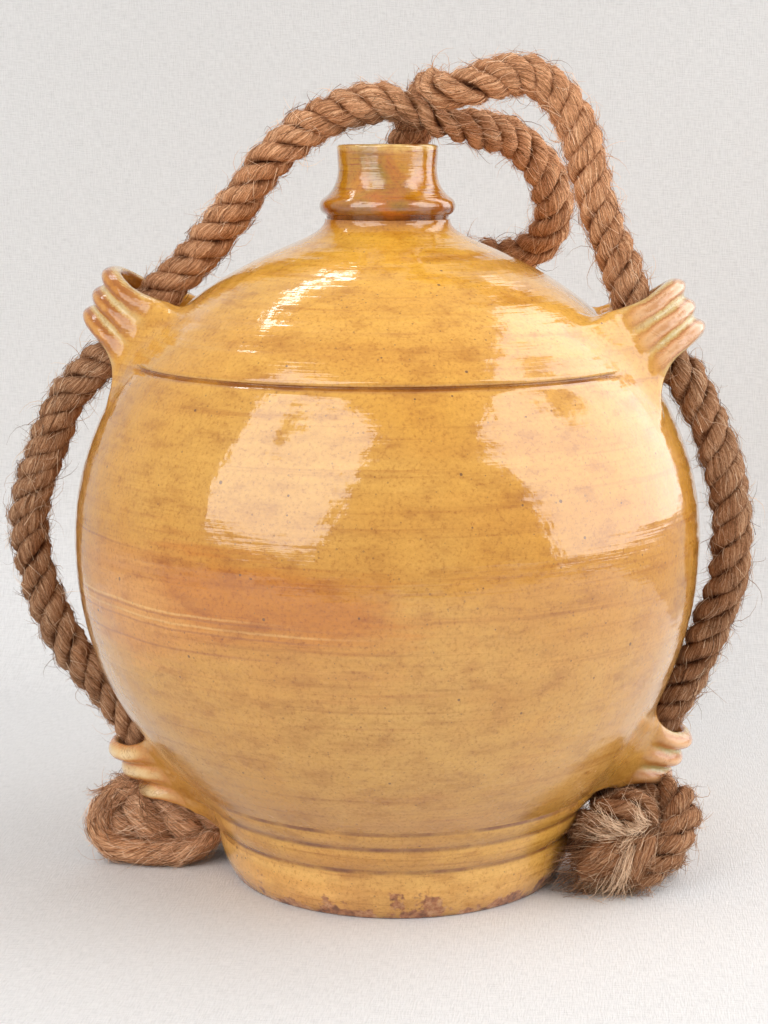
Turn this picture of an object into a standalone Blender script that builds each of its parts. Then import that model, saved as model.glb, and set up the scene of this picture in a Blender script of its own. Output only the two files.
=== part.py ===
# Glazed earthenware jug with a rope handle.
# Metres, +Z up. The jug stands on Z = 0 with its axis on Z.
# The lugs and the handle lie close to the XZ plane.
# The vessel is thrown in sections that are luted together: a foot ring, a bowl, a shoulder and
# a neck. Four pulled strap lugs are luted on, and one thick rope runs through them and is
# stopped by a knot at each end.

import math

import bmesh
import bpy
from mathutils import Matrix, Vector
from mathutils.geometry import interpolate_bezier

# Sizes of the vessel
BELLY_RADIUS = 0.155
BELLY_DEPTH = 0.1635  # half axis of the oval below the widest ring
BELLY_RISE = 0.1475  # half axis of the oval above it
WALL = 0.0068
FLOOR_THICKNESS = 0.009
FLOOR_RADIUS = 0.060  # of the flat underside of the bowl
UNDERSIDE = 0.01925  # height of that flat underside
BELLY_HEIGHT = UNDERSIDE + BELLY_DEPTH * math.sqrt(1 - (FLOOR_RADIUS / BELLY_RADIUS) ** 2)

FOOT_HEIGHT = 0.050
BASE_RADIUS = 0.0842
FOOT_WALL = 0.011
FOOT_BANDS = (0.0254, 0.0388)  # heights of the two turned grooves
FOOT_GROOVE = 0.0007
BASE_CHAMFER = 0.0015

SHOULDER_LIFT = 0.0877  # from the widest ring to the incised line where the bowl ends
SHOULDER_HEIGHT = BELLY_HEIGHT + SHOULDER_LIFT
SHOULDER_GROOVE = 0.0016
SHOULDER_FULLNESS = 0.070  # how far the shoulder keeps to the line of the belly
NECK_SWEEP = 0.0137  # how far below the neck the shoulder turns upright

NECK_LIFT = 0.0691  # from the incised line to the seam under the bead
NECK_HEIGHT = SHOULDER_HEIGHT + NECK_LIFT
NECK_WAIST = 0.0306
BEAD_RADIUS = 0.0332
BEAD_RISE = 0.0062  # from the seam to the widest ring of the bead
THROAT_RISE = 0.0135  # from there to the narrowest ring
COLLAR_RADIUS = 0.0244
COLLAR_HEIGHT = 0.0145  # from the narrowest ring to the rim
NECK_BORE = 0.0198

# Sizes of the lugs
LUG_RIDGES = 3
RIDGE_HEIGHT = 0.0034
UPPER_STRAP = 0.0056  # thickness under the ridges
LOWER_STRAP = 0.0038
UPPER_PITCH = 0.0122  # from ridge to ridge, along the rope
LOWER_PITCH = 0.0112
UPPER_SPAN = 0.056  # across the rope, between the middles of the legs
LOWER_SPAN = 0.050
UPPER_SEAT = 0.0143  # of the middle of the lug, above the incised line
LOWER_RIGHT_SEAT = 0.0192  # above the top of the foot
LOWER_LEFT_SEAT = 0.0096
UPPER_REACH = 0.0362  # from the body to the crest of the middle ridge
LOWER_LEFT_REACH = 0.0276
LOWER_RIGHT_REACH = 0.0302
ROOT_FLARE = 1.15  # how much wider a leg is where it is smeared onto the body
ROOT_THICKNESS = 2.0  # how much thicker it is there

# Sizes of the rope
ROPE_RADIUS = 0.010
CROSSING_SQUEEZE = 0.75  # share of its radius that the rope keeps where it crosses itself
LUG_SQUEEZE = 0.92
KNOT_ROPE_RADIUS = 0.0076
KNOT_RING = 0.018
KNOT_LOBE = 0.008

SEAM_GAP = 0.0003  # between pieces that are luted together
FACETS = 64


for old in list(bpy.data.objects):
    bpy.data.objects.remove(old)


def clay(name, colour, roughness):
    """A glazed or bare clay finish."""
    material = bpy.data.materials.new(name)
    material.use_nodes = True
    shader = material.node_tree.nodes["Principled BSDF"]
    shader.inputs["Base Color"].default_value = (*colour, 1)
    shader.inputs["Roughness"].default_value = roughness
    shader.inputs["Metallic"].default_value = 0
    material.diffuse_color = (*colour, 1)
    return material


def add_object(name, data, material):
    data.materials.append(material)
    piece = bpy.data.objects.new(name, data)
    bpy.context.scene.collection.objects.link(piece)
    return piece


# Outlines. Each is a list of (radius, height) points.

def belly_radius(height):
    """Radius of the belly at a height: one oval below its widest ring and another above."""
    half = BELLY_DEPTH if height < BELLY_HEIGHT else BELLY_RISE
    return BELLY_RADIUS * math.sqrt(1 - ((height - BELLY_HEIGHT) / half) ** 2)


def belly_angle(height):
    half = BELLY_DEPTH if height < BELLY_HEIGHT else BELLY_RISE
    return math.asin((height - BELLY_HEIGHT) / half)


def belly_arc(low, high, steps):
    """The belly from one height to another, at even turns of the oval."""
    start, end = belly_angle(low), belly_angle(high)
    points = []
    for step in range(steps + 1):
        angle = start + (end - start) * step / steps
        half = BELLY_DEPTH if angle < 0 else BELLY_RISE
        points.append((BELLY_RADIUS * math.cos(angle), BELLY_HEIGHT + half * math.sin(angle)))
    return points


def offset_line(points, distance):
    """The line moved square to itself, to the left of its direction."""
    moved = []
    for index, (radius, height) in enumerate(points):
        before = points[max(index - 1, 0)]
        after = points[min(index + 1, len(points) - 1)]
        along = Vector((after[0] - before[0], after[1] - before[1])).normalized()
        moved.append((radius - along.y * distance, height + along.x * distance))
    return moved


def bulged(start, end, bulge, steps):
    """A shallow outward swelling between two points."""
    points = []
    along = Vector((end[0] - start[0], end[1] - start[1]))
    out = Vector((along.y, -along.x)).normalized()
    for step in range(steps + 1):
        share = step / steps
        lift = bulge * 4 * share * (1 - share)
        points.append((start[0] + along.x * share + out.x * lift,
                       start[1] + along.y * share + out.y * lift))
    return points


def shoulder_line(steps):
    """From the incised line to the neck: first along the belly, then swept up to the neck."""
    height = SHOULDER_HEIGHT + SHOULDER_GROOVE
    start = Vector((belly_radius(SHOULDER_HEIGHT) - SHOULDER_GROOVE / 2, height, 0))
    angle = belly_angle(SHOULDER_HEIGHT)
    along = Vector((-BELLY_RADIUS * math.sin(angle), BELLY_RISE * math.cos(angle), 0)).normalized()
    end = Vector((NECK_WAIST, NECK_HEIGHT, 0))
    sweep = end - Vector((0, NECK_SWEEP, 0))
    curve = interpolate_bezier(start, start + along * SHOULDER_FULLNESS, sweep, end, steps + 1)
    return [(point.x, point.y) for point in curve]


def foot_seat():
    """The underside of the bowl, less the seam gap, out to the top of the foot."""
    return offset_line(belly_arc(UNDERSIDE, FOOT_HEIGHT - FOOT_GROOVE * 2, 12), -SEAM_GAP)


def foot_line():
    """The outer side of the foot: three turned bands with a groove between each two."""
    top_radius, top = foot_seat()[-1]
    heights = (0, *FOOT_BANDS, top)
    bulges = (0.0018, 0.0009, 0.0009)
    points = []
    for band, bulge in enumerate(bulges):
        low, high = heights[band], heights[band + 1]
        radii = [BASE_RADIUS + (top_radius - BASE_RADIUS) * (height / top) ** 1.55
                 for height in (low, high)]
        start = (radii[0], low + (FOOT_GROOVE if band else BASE_CHAMFER))
        end = (radii[1] - (FOOT_GROOVE if high < top else 0), high)
        points += bulged(start, end, bulge, 4 if band == 0 else 2)
    return points


def face_outwards(shape):
    bmesh.ops.recalc_face_normals(shape, faces=shape.faces)
    if shape.calc_volume(signed=True) < 0:
        bmesh.ops.reverse_faces(shape, faces=shape.faces)


def turned(name, outline, material, facets=FACETS):
    """A closed piece spun round Z from its outline, which runs round the wall."""
    mesh = bpy.data.meshes.new(name)
    shape = bmesh.new()
    corners = [shape.verts.new((radius, 0, height)) for radius, height in outline]
    edges = [shape.edges.new(pair) for pair in zip(corners, corners[1:])]
    if outline[0][0] > 0:
        edges.append(shape.edges.new((corners[-1], corners[0])))
    bmesh.ops.spin(shape, geom=corners + edges, axis=(0, 0, 1), cent=(0, 0, 0),
                   steps=facets, angle=math.tau, use_merge=True)
    bmesh.ops.remove_doubles(shape, verts=shape.verts, dist=1e-6)
    face_outwards(shape)
    shape.to_mesh(mesh)
    shape.free()
    mesh.shade_smooth()
    mesh.set_sharp_from_angle(angle=math.radians(35))
    return add_object(name, mesh, material)


honey_glaze = clay("honey_glaze", (0.66, 0.38, 0.10), 0.15)
amber_glaze = clay("amber_glaze", (0.50, 0.24, 0.04), 0.14)
lug_glaze = clay("lug_glaze", (0.68, 0.36, 0.14), 0.18)
foot_glaze = clay("foot_glaze", (0.56, 0.30, 0.10), 0.24)
coir = clay("coir", (0.30, 0.17, 0.09), 0.9)


# Vessel

bowl_outside = belly_arc(FOOT_HEIGHT + SEAM_GAP, SHOULDER_HEIGHT - SHOULDER_GROOVE, 14)


def make_bowl():
    """The belly: a flat underside, a wall that follows the oval, and an open top."""
    under = belly_arc(UNDERSIDE, FOOT_HEIGHT + SEAM_GAP, 4)
    outside = under[:-1] + bowl_outside
    seam = SHOULDER_HEIGHT
    lip_radius = belly_radius(SHOULDER_HEIGHT) - SHOULDER_GROOVE
    inside = offset_line(outside, WALL)
    floor_top = UNDERSIDE + FLOOR_THICKNESS
    inside = [point for point in inside if floor_top + 0.002 < point[1] < seam - 0.003][::2]
    outline = [(0, UNDERSIDE), *outside, (lip_radius, seam),
               (belly_radius(SHOULDER_HEIGHT) - WALL, seam)]
    outline += inside[::-1]
    outline += [(inside[0][0] - 0.006, floor_top), (0, floor_top)]
    return turned("bowl", outline, honey_glaze)


def make_foot():
    """A flared ring luted under the bowl. Its top follows the bowl's underside."""
    outside = foot_line()
    inner_seat = outside[-1][0] - 1.7 * FOOT_WALL
    seat = [point for point in foot_seat()[:-1] if point[0] > inner_seat]
    bore_low = BASE_RADIUS - FOOT_WALL
    outline = [(BASE_RADIUS - BASE_CHAMFER, 0), *outside, *seat[::-1]]
    outline += [(bore_low + 0.002, 0.012), (bore_low, 0.0015), (bore_low + BASE_CHAMFER, 0)]
    return turned("foot_ring", outline, foot_glaze)


def make_shoulder():
    """The pointed top of the body, from the incised line to the neck."""
    outside = shoulder_line(11)
    inside = [point for point in offset_line(outside, WALL) if point[0] > NECK_BORE + 0.002]
    bottom = SHOULDER_HEIGHT + SEAM_GAP
    inside = [point for point in inside if point[1] > bottom + 0.001]
    lip_radius = belly_radius(SHOULDER_HEIGHT) - SHOULDER_GROOVE
    outline = [(lip_radius, bottom), *outside, (NECK_BORE + 0.0026, NECK_HEIGHT)]
    outline += inside[::-1]
    outline.append((belly_radius(SHOULDER_HEIGHT) - WALL, bottom))
    return turned("shoulder", outline, honey_glaze)


def make_neck():
    """A short collar: a round bead at its foot, a drawn-in throat and a slightly rolled rim."""
    foot = NECK_HEIGHT + SEAM_GAP
    bead = NECK_HEIGHT + BEAD_RISE
    throat = bead + THROAT_RISE
    rim = throat + COLLAR_HEIGHT
    outside = [(NECK_WAIST, foot), (NECK_WAIST + 0.0003, foot + 0.0018)]
    for turn in (-50, -20, 10, 40):
        angle = math.radians(turn)
        outside.append((BEAD_RADIUS - 0.003 + 0.003 * math.cos(angle), bead + 0.003 * math.sin(angle)))
    end = Vector((COLLAR_RADIUS, throat, 0))
    start = Vector((*outside[-1], 0))
    sweep = interpolate_bezier(start, start + Vector((-0.0035, 0.0042, 0)),
                               end - Vector((0, 0.005, 0)), end, 6)
    outside += [(point.x, point.y) for point in sweep[1:]]
    lip = (COLLAR_RADIUS - NECK_BORE) / 2
    for turn in (0, 45, 90, 135):
        angle = math.radians(turn)
        outside.append((NECK_BORE + lip + (lip + 0.0003) * math.cos(angle),
                        rim - lip * 0.6 + lip * 0.6 * math.sin(angle)))
    inside = [(NECK_BORE, rim - 0.004), (NECK_BORE, throat), (NECK_BORE + 0.0026, foot)]
    return turned("neck", outside + inside, amber_glaze, facets=40)


foot_ring = make_foot()
bowl = make_bowl()
shoulder = make_shoulder()
neck = make_neck()


# Lugs. Each is a strap that arches over the rope, with ridges that run along the strap.
# side: bearing of the lug round the jug. seat: height on the body where it stands.
# lean: tilt of the rope's channel from upright. reach: from the body to the crest of the ridges.
# droop: how far the ridges sink along the channel, for each step that they come nearer the body.
LUGS = {
    "lug_upper_right": {"side": 0, "seat": SHOULDER_HEIGHT + UPPER_SEAT, "lean": 27,
                        "reach": UPPER_REACH, "droop": 0.15},
    "lug_upper_left": {"side": 180, "seat": SHOULDER_HEIGHT + UPPER_SEAT, "lean": 27,
                       "reach": UPPER_REACH, "droop": 0.15},
    "lug_lower_right": {"side": 5.5, "seat": FOOT_HEIGHT + LOWER_RIGHT_SEAT, "lean": -31,
                        "reach": LOWER_RIGHT_REACH, "droop": 0.17},
    "lug_lower_left": {"side": 180, "seat": FOOT_HEIGHT + LOWER_LEFT_SEAT, "lean": -32.6,
                       "reach": LOWER_LEFT_REACH, "droop": 0.53},
}

# The strap's middle line, as shares of half its span and of its height above the body
ARCH = ((0, 1), (0.28, 0.97), (0.54, 0.86), (0.75, 0.66), (0.88, 0.42), (0.98, 0.18),
        (1.10, -0.05), (1.26, -0.28), (1.46, -0.54), (1.66, -0.84))


def body_radius(height):
    """Radius of the whole body at a height, across the incised line."""
    if height <= SHOULDER_HEIGHT:
        return belly_radius(height)
    line = shoulder_line(40)
    for (r0, z0), (r1, z1) in zip(line, line[1:]):
        if z0 <= height <= z1:
            return r0 + (r1 - r0) * (height - z0) / (z1 - z0)
    return line[0][0]


def make_lug_cutter():
    """The foot and the body grown by the seam gap. The lugs are cut back to it."""
    outside = foot_line()
    outside += bowl_outside
    outside += [(belly_radius(SHOULDER_HEIGHT) - SHOULDER_GROOVE, SHOULDER_HEIGHT)]
    outside += shoulder_line(11)
    grown = offset_line(outside, -SEAM_GAP)
    first, last = grown[0], grown[-1]
    outline = [(0, first[1]), *grown, (0, last[1])]
    cutter = turned("lug_cutter", outline, honey_glaze)
    cutter.hide_render = True
    cutter.display_type = "WIRE"
    return cutter


def strap_section(pitch, thickness, ridge, widen):
    """Across the strap: (place along the rope, height above the strap's middle)."""
    points = []
    half = thickness / 2
    for index in range(LUG_RIDGES):
        middle = (index - (LUG_RIDGES - 1) / 2) * pitch
        for turn in (165, 130, 90, 50, 15):
            angle = math.radians(turn)
            points.append((widen * (middle + 0.5 * pitch * math.cos(angle)),
                           half + ridge * math.sin(angle)))
    edge = widen * LUG_RIDGES * pitch / 2
    points += [(edge * 0.995, 0), (edge * 0.93, -half), (edge * 0.3, -half),
               (-edge * 0.3, -half), (-edge * 0.93, -half), (-edge * 0.995, 0)]
    return points


def make_lug(name, side, seat, lean, reach, droop, cutter):
    upper = lean > 0
    pitch = UPPER_PITCH if upper else LOWER_PITCH
    strap = UPPER_STRAP if upper else LOWER_STRAP
    half_span = (UPPER_SPAN if upper else LOWER_SPAN) / 2
    rise = reach - RIDGE_HEIGHT - strap / 2

    line = [Vector((share * half_span, height * rise)) for share, height in ARCH]
    line = [Vector((-point.x, point.y)) for point in line[:0:-1]] + line
    base = Vector((body_radius(seat), 0, seat))
    lean_angle = math.radians(lean)
    out = Vector((math.cos(lean_angle), 0, math.sin(lean_angle)))
    along = Vector((-math.sin(lean_angle), 0, math.cos(lean_angle)))
    across = Vector((0, 1, 0))

    shape = bmesh.new()
    rings = []
    for index, point in enumerate(line):
        before, after = line[max(index - 1, 0)], line[min(index + 1, len(line) - 1)]
        run = (after - before).normalized()
        normal = Vector((-run.y, run.x))
        root = min(1, max(0, 1 - point.y / rise * 1.6)) ** 1.5
        widen = 1 + (ROOT_FLARE - 1) * root
        thick = strap * (1 + (ROOT_THICKNESS - 1) * root)
        sink = droop * (rise - point.y)
        ring = []
        for place, lift in strap_section(pitch, thick, RIDGE_HEIGHT * (1 - 0.85 * root), widen):
            spot = base + along * (place - sink)
            spot += across * (point.x + normal.x * lift) + out * (point.y + normal.y * lift)
            ring.append(shape.verts.new(spot))
        rings.append(ring)
    for first, second in zip(rings, rings[1:]):
        for corner in range(len(first)):
            following = (corner + 1) % len(first)
            shape.faces.new((first[corner], first[following], second[following], second[corner]))
    shape.faces.new(rings[0])
    shape.faces.new(rings[-1][::-1])
    face_outwards(shape)
    bmesh.ops.rotate(shape, verts=shape.verts, cent=(0, 0, 0),
                     matrix=Matrix.Rotation(math.radians(side), 3, "Z"))
    mesh = bpy.data.meshes.new(name)
    shape.to_mesh(mesh)
    shape.free()
    mesh.shade_smooth()
    mesh.set_sharp_from_angle(angle=math.radians(50))
    lug = add_object(name, mesh, lug_glaze)
    cut = lug.modifiers.new("seat on the body", "BOOLEAN")
    cut.operation = "DIFFERENCE"
    cut.solver = "EXACT"
    cut.object = cutter
    return lug


lug_cutter = make_lug_cutter()
for lug_name, place in LUGS.items():
    make_lug(lug_name, cutter=lug_cutter, **place)


# Rope. Its route starts under the lower left lug, goes up through the upper left lug and over
# the neck, makes a loop that rests on the back of the shoulder, crosses over itself and goes
# down through the two right lugs.
ROUTE = (
    (-0.1154, 0, 0.0430), (-0.1233, 0, 0.0544), (-0.1322, 0, 0.0674), (-0.1410, 0, 0.0780),
    (-0.1495, 0, 0.0890), (-0.1575, 0, 0.0995), (-0.1655, 0, 0.1100), (-0.1760, 0, 0.1310),
    (-0.1820, 0, 0.1530), (-0.1840, 0, 0.1740), (-0.1800, 0, 0.1940), (-0.1720, 0, 0.2150),
    (-0.1630, 0, 0.2360), (-0.1545, 0, 0.2460), (-0.1470, 0, 0.2535), (-0.1370, 0, 0.2605),
    (-0.1245, 0, 0.2762), (-0.1120, 0, 0.2910), (-0.0990, 0, 0.3035), (-0.0860, 0, 0.3180),
    (-0.0720, 0, 0.3360), (-0.0580, 0, 0.3550), (-0.0350, 0, 0.3730), (-0.0100, -0.002, 0.3820),
    (0.0080, -0.003, 0.3820), (0.0240, 0.003, 0.3745), (0.0420, 0.022, 0.3710),
    (0.0590, 0.040, 0.3650), (0.0730, 0.054, 0.3500), (0.0790, 0.063, 0.3320),
    (0.0740, 0.071, 0.3150), (0.0600, 0.081, 0.3050), (0.0400, 0.091, 0.3030),
    (0.0200, 0.094, 0.3050), (0.0000, 0.088, 0.3110), (-0.0130, 0.073, 0.3210),
    (-0.0140, 0.057, 0.3340), (-0.0050, 0.045, 0.3480), (0.0060, 0.038, 0.3620),
    (0.0120, 0.026, 0.3770), (0.0190, 0.013, 0.3870), (0.0320, 0.003, 0.3910),
    (0.0460, 0, 0.3935), (0.0620, 0, 0.3960), (0.0760, 0, 0.3910), (0.0870, 0, 0.3790),
    (0.0940, 0, 0.3640), (0.0980, 0, 0.3460), (0.1040, 0, 0.3270), (0.1120, 0, 0.3080),
    (0.1190, 0, 0.2890), (0.1270, 0, 0.2740), (0.1370, 0, 0.2605), (0.1450, 0, 0.2520),
    (0.1520, 0, 0.2400), (0.1610, 0, 0.2200), (0.1670, 0, 0.2000), (0.1700, 0, 0.1800),
    (0.1700, 0, 0.1600), (0.1690, 0.002, 0.1500), (0.1660, 0.004, 0.1400),
    (0.1625, 0.007, 0.1290), (0.1590, 0.009, 0.1180), (0.1546, 0.011, 0.1070),
    (0.1500, 0.012, 0.0960), (0.1445, 0.013, 0.0850), (0.1380, 0.013, 0.0750),
    (0.1305, 0.0125, 0.0640), (0.1223, 0.0115, 0.0500),
)
ROPE_POINTS = 78


def smooth_route(points, steps=12):
    """A curve through every point of the route."""
    points = [Vector(point) for point in points]
    ends = [2 * points[0] - points[1], *points, 2 * points[-1] - points[-2]]
    curve = []
    for a, b, c, d in zip(ends, ends[1:], ends[2:], ends[3:]):
        for step in range(steps):
            t = step / steps
            curve.append(0.5 * (2 * b + (c - a) * t + (2 * a - 5 * b + 4 * c - d) * t * t
                                + (3 * b - a - 3 * c + d) * t ** 3))
    curve.append(points[-1])
    return curve


def even_points(curve, count):
    """Points at even distances along a fine curve."""
    lengths = [0.0]
    for first, second in zip(curve, curve[1:]):
        lengths.append(lengths[-1] + (second - first).length)
    picked, index = [], 0
    for number in range(count):
        target = lengths[-1] * number / (count - 1)
        while index < len(lengths) - 2 and lengths[index + 1] < target:
            index += 1
        share = (target - lengths[index]) / (lengths[index + 1] - lengths[index])
        picked.append(curve[index].lerp(curve[index + 1], min(share, 1)))
    return picked, lengths[-1]


def least_gap(name, points, radii, apart):
    """Prints the narrowest gap of a tube to itself, between points further apart than a bend."""
    gap, where = math.inf, None
    for i, first in enumerate(points):
        for j in range(i + apart, len(points)):
            room = (first - points[j]).length - radii[i] - radii[j]
            if room < gap:
                gap, where = room, (i, j)
    print(f"{name}: least gap to itself {gap * 1000:.2f} mm, at points {where}")


def tube(name, points, radii, radius, material, sides):
    """A tube along the points. bevel_resolution 2 gives 8 sides and 3 gives 10."""
    curve = bpy.data.curves.new(name, "CURVE")
    curve.dimensions = "3D"
    curve.bevel_depth = radius
    curve.bevel_resolution = sides
    curve.use_fill_caps = True
    spline = curve.splines.new("POLY")
    spline.points.add(len(points) - 1)
    for knot, point, share in zip(spline.points, points, radii):
        knot.co = (*point, 1)
        knot.radius = share / radius
    return add_object(name, curve, material)


def rope_radius(point):
    """The rope is squeezed where it crosses itself and, less, inside each lug."""
    crossing = (point - Vector((0.024, 0.004, 0.381))).length
    squeeze = 1 - (1 - CROSSING_SQUEEZE) * max(0, 1 - max(0, crossing - 0.014) / 0.016)
    return ROPE_RADIUS * min(squeeze, LUG_SQUEEZE if point.z < 0.09 else 1)


rope_line, rope_length = even_points(smooth_route(ROUTE), ROPE_POINTS)
rope_radii = [rope_radius(point) for point in rope_line]
least_gap("rope", rope_line, rope_radii, 4)
print(f"rope: {rope_length:.3f} m between the knots")
tube("rope", rope_line, rope_radii, ROPE_RADIUS, coir, 3)


# Knots. Each is an overhand knot pulled tight, an open trefoil that lies on the ground.
# turn: bearing of the strand where it enters, on top. tilt: how much its outer side is raised.
# lead: from the end of the rope to there.
KNOTS = {
    "knot_left": {"centre": (-0.1265, -0.0210), "turn": 46, "rise": 0.010, "tilt": 0.14,
                  "mirror": -1,
                  "lead": ((-0.1150, 0, 0.0424), (-0.1123, 0, 0.0384),
                           (-0.1112, -0.0006, 0.0335), (-0.1112, -0.0026, 0.0290))},
    "knot_right": {"centre": (0.1245, -0.0190), "turn": 140, "rise": 0.013, "tilt": 0.05,
                   "mirror": 1,
                   "lead": ((0.1217, 0.0114, 0.0490), (0.1193, 0.0110, 0.0449),
                            (0.1162, 0.0075, 0.0400), (0.1128, 0.0010, 0.0362))},
}


def knot_line(centre, turn, rise, tilt, mirror, lead):
    middle = Vector((*centre, 0))
    outward = middle.normalized()
    points = []
    steps = 48
    start = math.pi / 6
    for step in range(steps):
        t = start + (math.tau - 0.62) * step / (steps - 1)
        radius = KNOT_RING + KNOT_LOBE * math.cos(3 * t)
        angle = mirror * 2 * (t - start) + math.radians(turn)
        spot = Vector((radius * math.cos(angle), radius * math.sin(angle), rise * math.sin(3 * t)))
        spot.z += tilt * spot.dot(outward)
        points.append(middle + spot)
    lift = KNOT_ROPE_RADIUS + 0.0005 - min(point.z for point in points)
    return [Vector(point) for point in lead] + [point + Vector((0, 0, lift)) for point in points]


for knot_name, shape in KNOTS.items():
    knot_points, _ = even_points(smooth_route(knot_line(**shape), 4), 44)
    knot_radii = [KNOT_ROPE_RADIUS] * len(knot_points)
    least_gap(knot_name, knot_points, knot_radii, 5)
    tube(knot_name, knot_points, knot_radii, KNOT_ROPE_RADIUS, coir, 2)
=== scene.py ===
# Round glazed jug with a thick coir rope for a handle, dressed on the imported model.
# Metres, +Z up. The lugs and the rope lie close to the XZ plane, the viewer is at -Y.

import math

import bpy
import numpy as np
from mathutils import Matrix, Vector
from mathutils.geometry import interpolate_bezier


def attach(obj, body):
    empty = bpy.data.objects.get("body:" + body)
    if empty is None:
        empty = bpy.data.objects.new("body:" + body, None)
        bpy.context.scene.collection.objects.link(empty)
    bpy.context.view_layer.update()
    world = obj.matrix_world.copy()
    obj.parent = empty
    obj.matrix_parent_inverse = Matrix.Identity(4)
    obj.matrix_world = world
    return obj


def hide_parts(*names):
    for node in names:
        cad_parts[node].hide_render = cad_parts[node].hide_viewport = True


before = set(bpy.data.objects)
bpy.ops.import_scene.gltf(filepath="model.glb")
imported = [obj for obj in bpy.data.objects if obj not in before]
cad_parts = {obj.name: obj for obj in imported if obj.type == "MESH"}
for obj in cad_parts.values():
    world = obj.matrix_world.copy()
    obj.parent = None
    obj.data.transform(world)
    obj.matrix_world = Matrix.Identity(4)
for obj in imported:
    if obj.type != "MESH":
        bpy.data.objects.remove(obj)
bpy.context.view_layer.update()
scene = bpy.context.scene


# Camera, at the photograph's viewing angle

cameraSetup = {"lens": 72.53, "sensorHeight": 36, "place": (0.1133, -1.0092, 0.3611),
               "tilt": 79.972, "turn": 6.5}

cameraData = bpy.data.cameras.new("camera")
cameraData.lens = cameraSetup["lens"]
cameraData.sensor_fit = "VERTICAL"
cameraData.sensor_height = cameraSetup["sensorHeight"]
camera = bpy.data.objects.new("camera", cameraData)
camera.location = cameraSetup["place"]
camera.rotation_euler = (math.radians(cameraSetup["tilt"]), 0, math.radians(cameraSetup["turn"]))
scene.collection.objects.link(camera)
scene.camera = camera
print("camera is set")


# Helpers for node trees. A Flow is what comes out of a node, and can be added and multiplied.

class Flow:
    def __init__(self, socket):
        self.socket = socket

    __add__ = lambda self, other: maths("ADD", self, other)
    __sub__ = lambda self, other: maths("SUBTRACT", self, other)
    __rsub__ = lambda self, other: maths("SUBTRACT", other, self)
    __mul__ = lambda self, other: maths("MULTIPLY", self, other)
    __truediv__ = lambda self, other: maths("DIVIDE", self, other)


def plug(socket, value):
    if isinstance(value, Flow):
        socket.id_data.links.new(value.socket, socket)
    elif value is not None:
        if socket.type == "RGBA" and len(value) == 3:
            value = (*value, 1)
        socket.default_value = value


def plugAll(made, named):
    for key, value in named.items():
        plug(made.inputs[key], value)


def addNode(kind, *values, tree=None, into={}, **settings):
    # without a tree, it goes where its first incoming Flow is
    if tree is None:
        tree = next(one.socket.id_data for one in (*values, *into.values()) if isinstance(one, Flow))
    made = tree.nodes.new(kind)
    for key, value in settings.items():
        setattr(made, key, value)
    for socket, value in zip([one for one in made.inputs if one.enabled], values):
        plug(socket, value)
    plugAll(made, into)
    return made


def flow(kind, *values, out=None, **settings):
    made = addNode(kind, *values, **settings)
    return Flow(made.outputs[out] if out else next(one for one in made.outputs if one.enabled))


def maths(operation, *values):
    return flow("ShaderNodeMath", *values, operation=operation)


def vectors(operation, *values):
    return flow("ShaderNodeVectorMath", *values, operation=operation)


def joinXYZ(*values):
    return flow("ShaderNodeCombineXYZ", *values)


def splitXYZ(vector):
    return [Flow(one) for one in addNode("ShaderNodeSeparateXYZ", vector).outputs]


def noiseOf(where, scale, detail=2, rough=0.5, distortion=0.0):
    return flow("ShaderNodeTexNoise", into={"Vector": where, "Scale": scale, "Detail": detail,
                                            "Roughness": rough, "Distortion": distortion})


def ramp(factor, stops):
    # stops are (place, colour or grey)
    made = addNode("ShaderNodeValToRGB", factor)
    marks = made.color_ramp.elements
    while len(marks) < len(stops):
        marks.new(0.5)
    for mark, (place, colour) in zip(marks, stops):
        mark.position = place
        mark.color = (*(colour if hasattr(colour, "__len__") else (colour,) * 3), 1)
    return Flow(made.outputs[0])


def remap(value, low, high, newLow=0.0, newHigh=1.0, kind="LINEAR"):
    return flow("ShaderNodeMapRange", value, low, high, newLow, newHigh, interpolation_type=kind)


def blendColour(factor, first, second, mode="MIX"):
    return flow("ShaderNodeMix", factor, first, second, data_type="RGBA", blend_type=mode)


def tinted(colour, shade, amount=1.0):
    return blendColour(amount, colour, shade, "MULTIPLY")


def bumpOf(height, strength, distance):
    return flow("ShaderNodeBump", into={"Strength": strength, "Distance": distance, "Height": height})


def objectPlace(tree):
    return flow("ShaderNodeTexCoord", tree=tree, out="Object")


def attributeOf(tree, name, out="Fac"):
    return flow("ShaderNodeAttribute", tree=tree, out=out, attribute_name=name)


def newMaterial(name, roughness, colour):
    material = bpy.data.materials.new(name)
    material.use_nodes = True
    material.diffuse_color = (*colour, 1)
    shader = material.node_tree.nodes["Principled BSDF"]
    shader.inputs["Roughness"].default_value = roughness
    return material, material.node_tree, shader


socketKinds = {float: "NodeSocketFloat", int: "NodeSocketInt",
               bpy.types.Material: "NodeSocketMaterial"}


def newTree(name, sizes):
    tree = bpy.data.node_groups.new(name, "GeometryNodeTree")
    tree.interface.new_socket("Geometry", in_out="INPUT", socket_type="NodeSocketGeometry")
    for label, value in sizes.items():
        tree.interface.new_socket(label, in_out="INPUT", socket_type=socketKinds[type(value)])
    tree.interface.new_socket("Geometry", in_out="OUTPUT", socket_type="NodeSocketGeometry")
    group = tree.nodes.new("NodeGroupInput")
    given = {label: Flow(group.outputs[label]) for label in ("Geometry", *sizes)}

    def finish(geometry):
        geometry = flow("GeometryNodeSetShadeSmooth", geometry)
        geometry = flow("GeometryNodeRealizeInstances", geometry)
        geometry = flow("GeometryNodeSetMaterial", geometry, True, given["Material"])
        plug(tree.nodes.new("NodeGroupOutput").inputs[0], geometry)
        return tree

    return tree, given, finish


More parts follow.
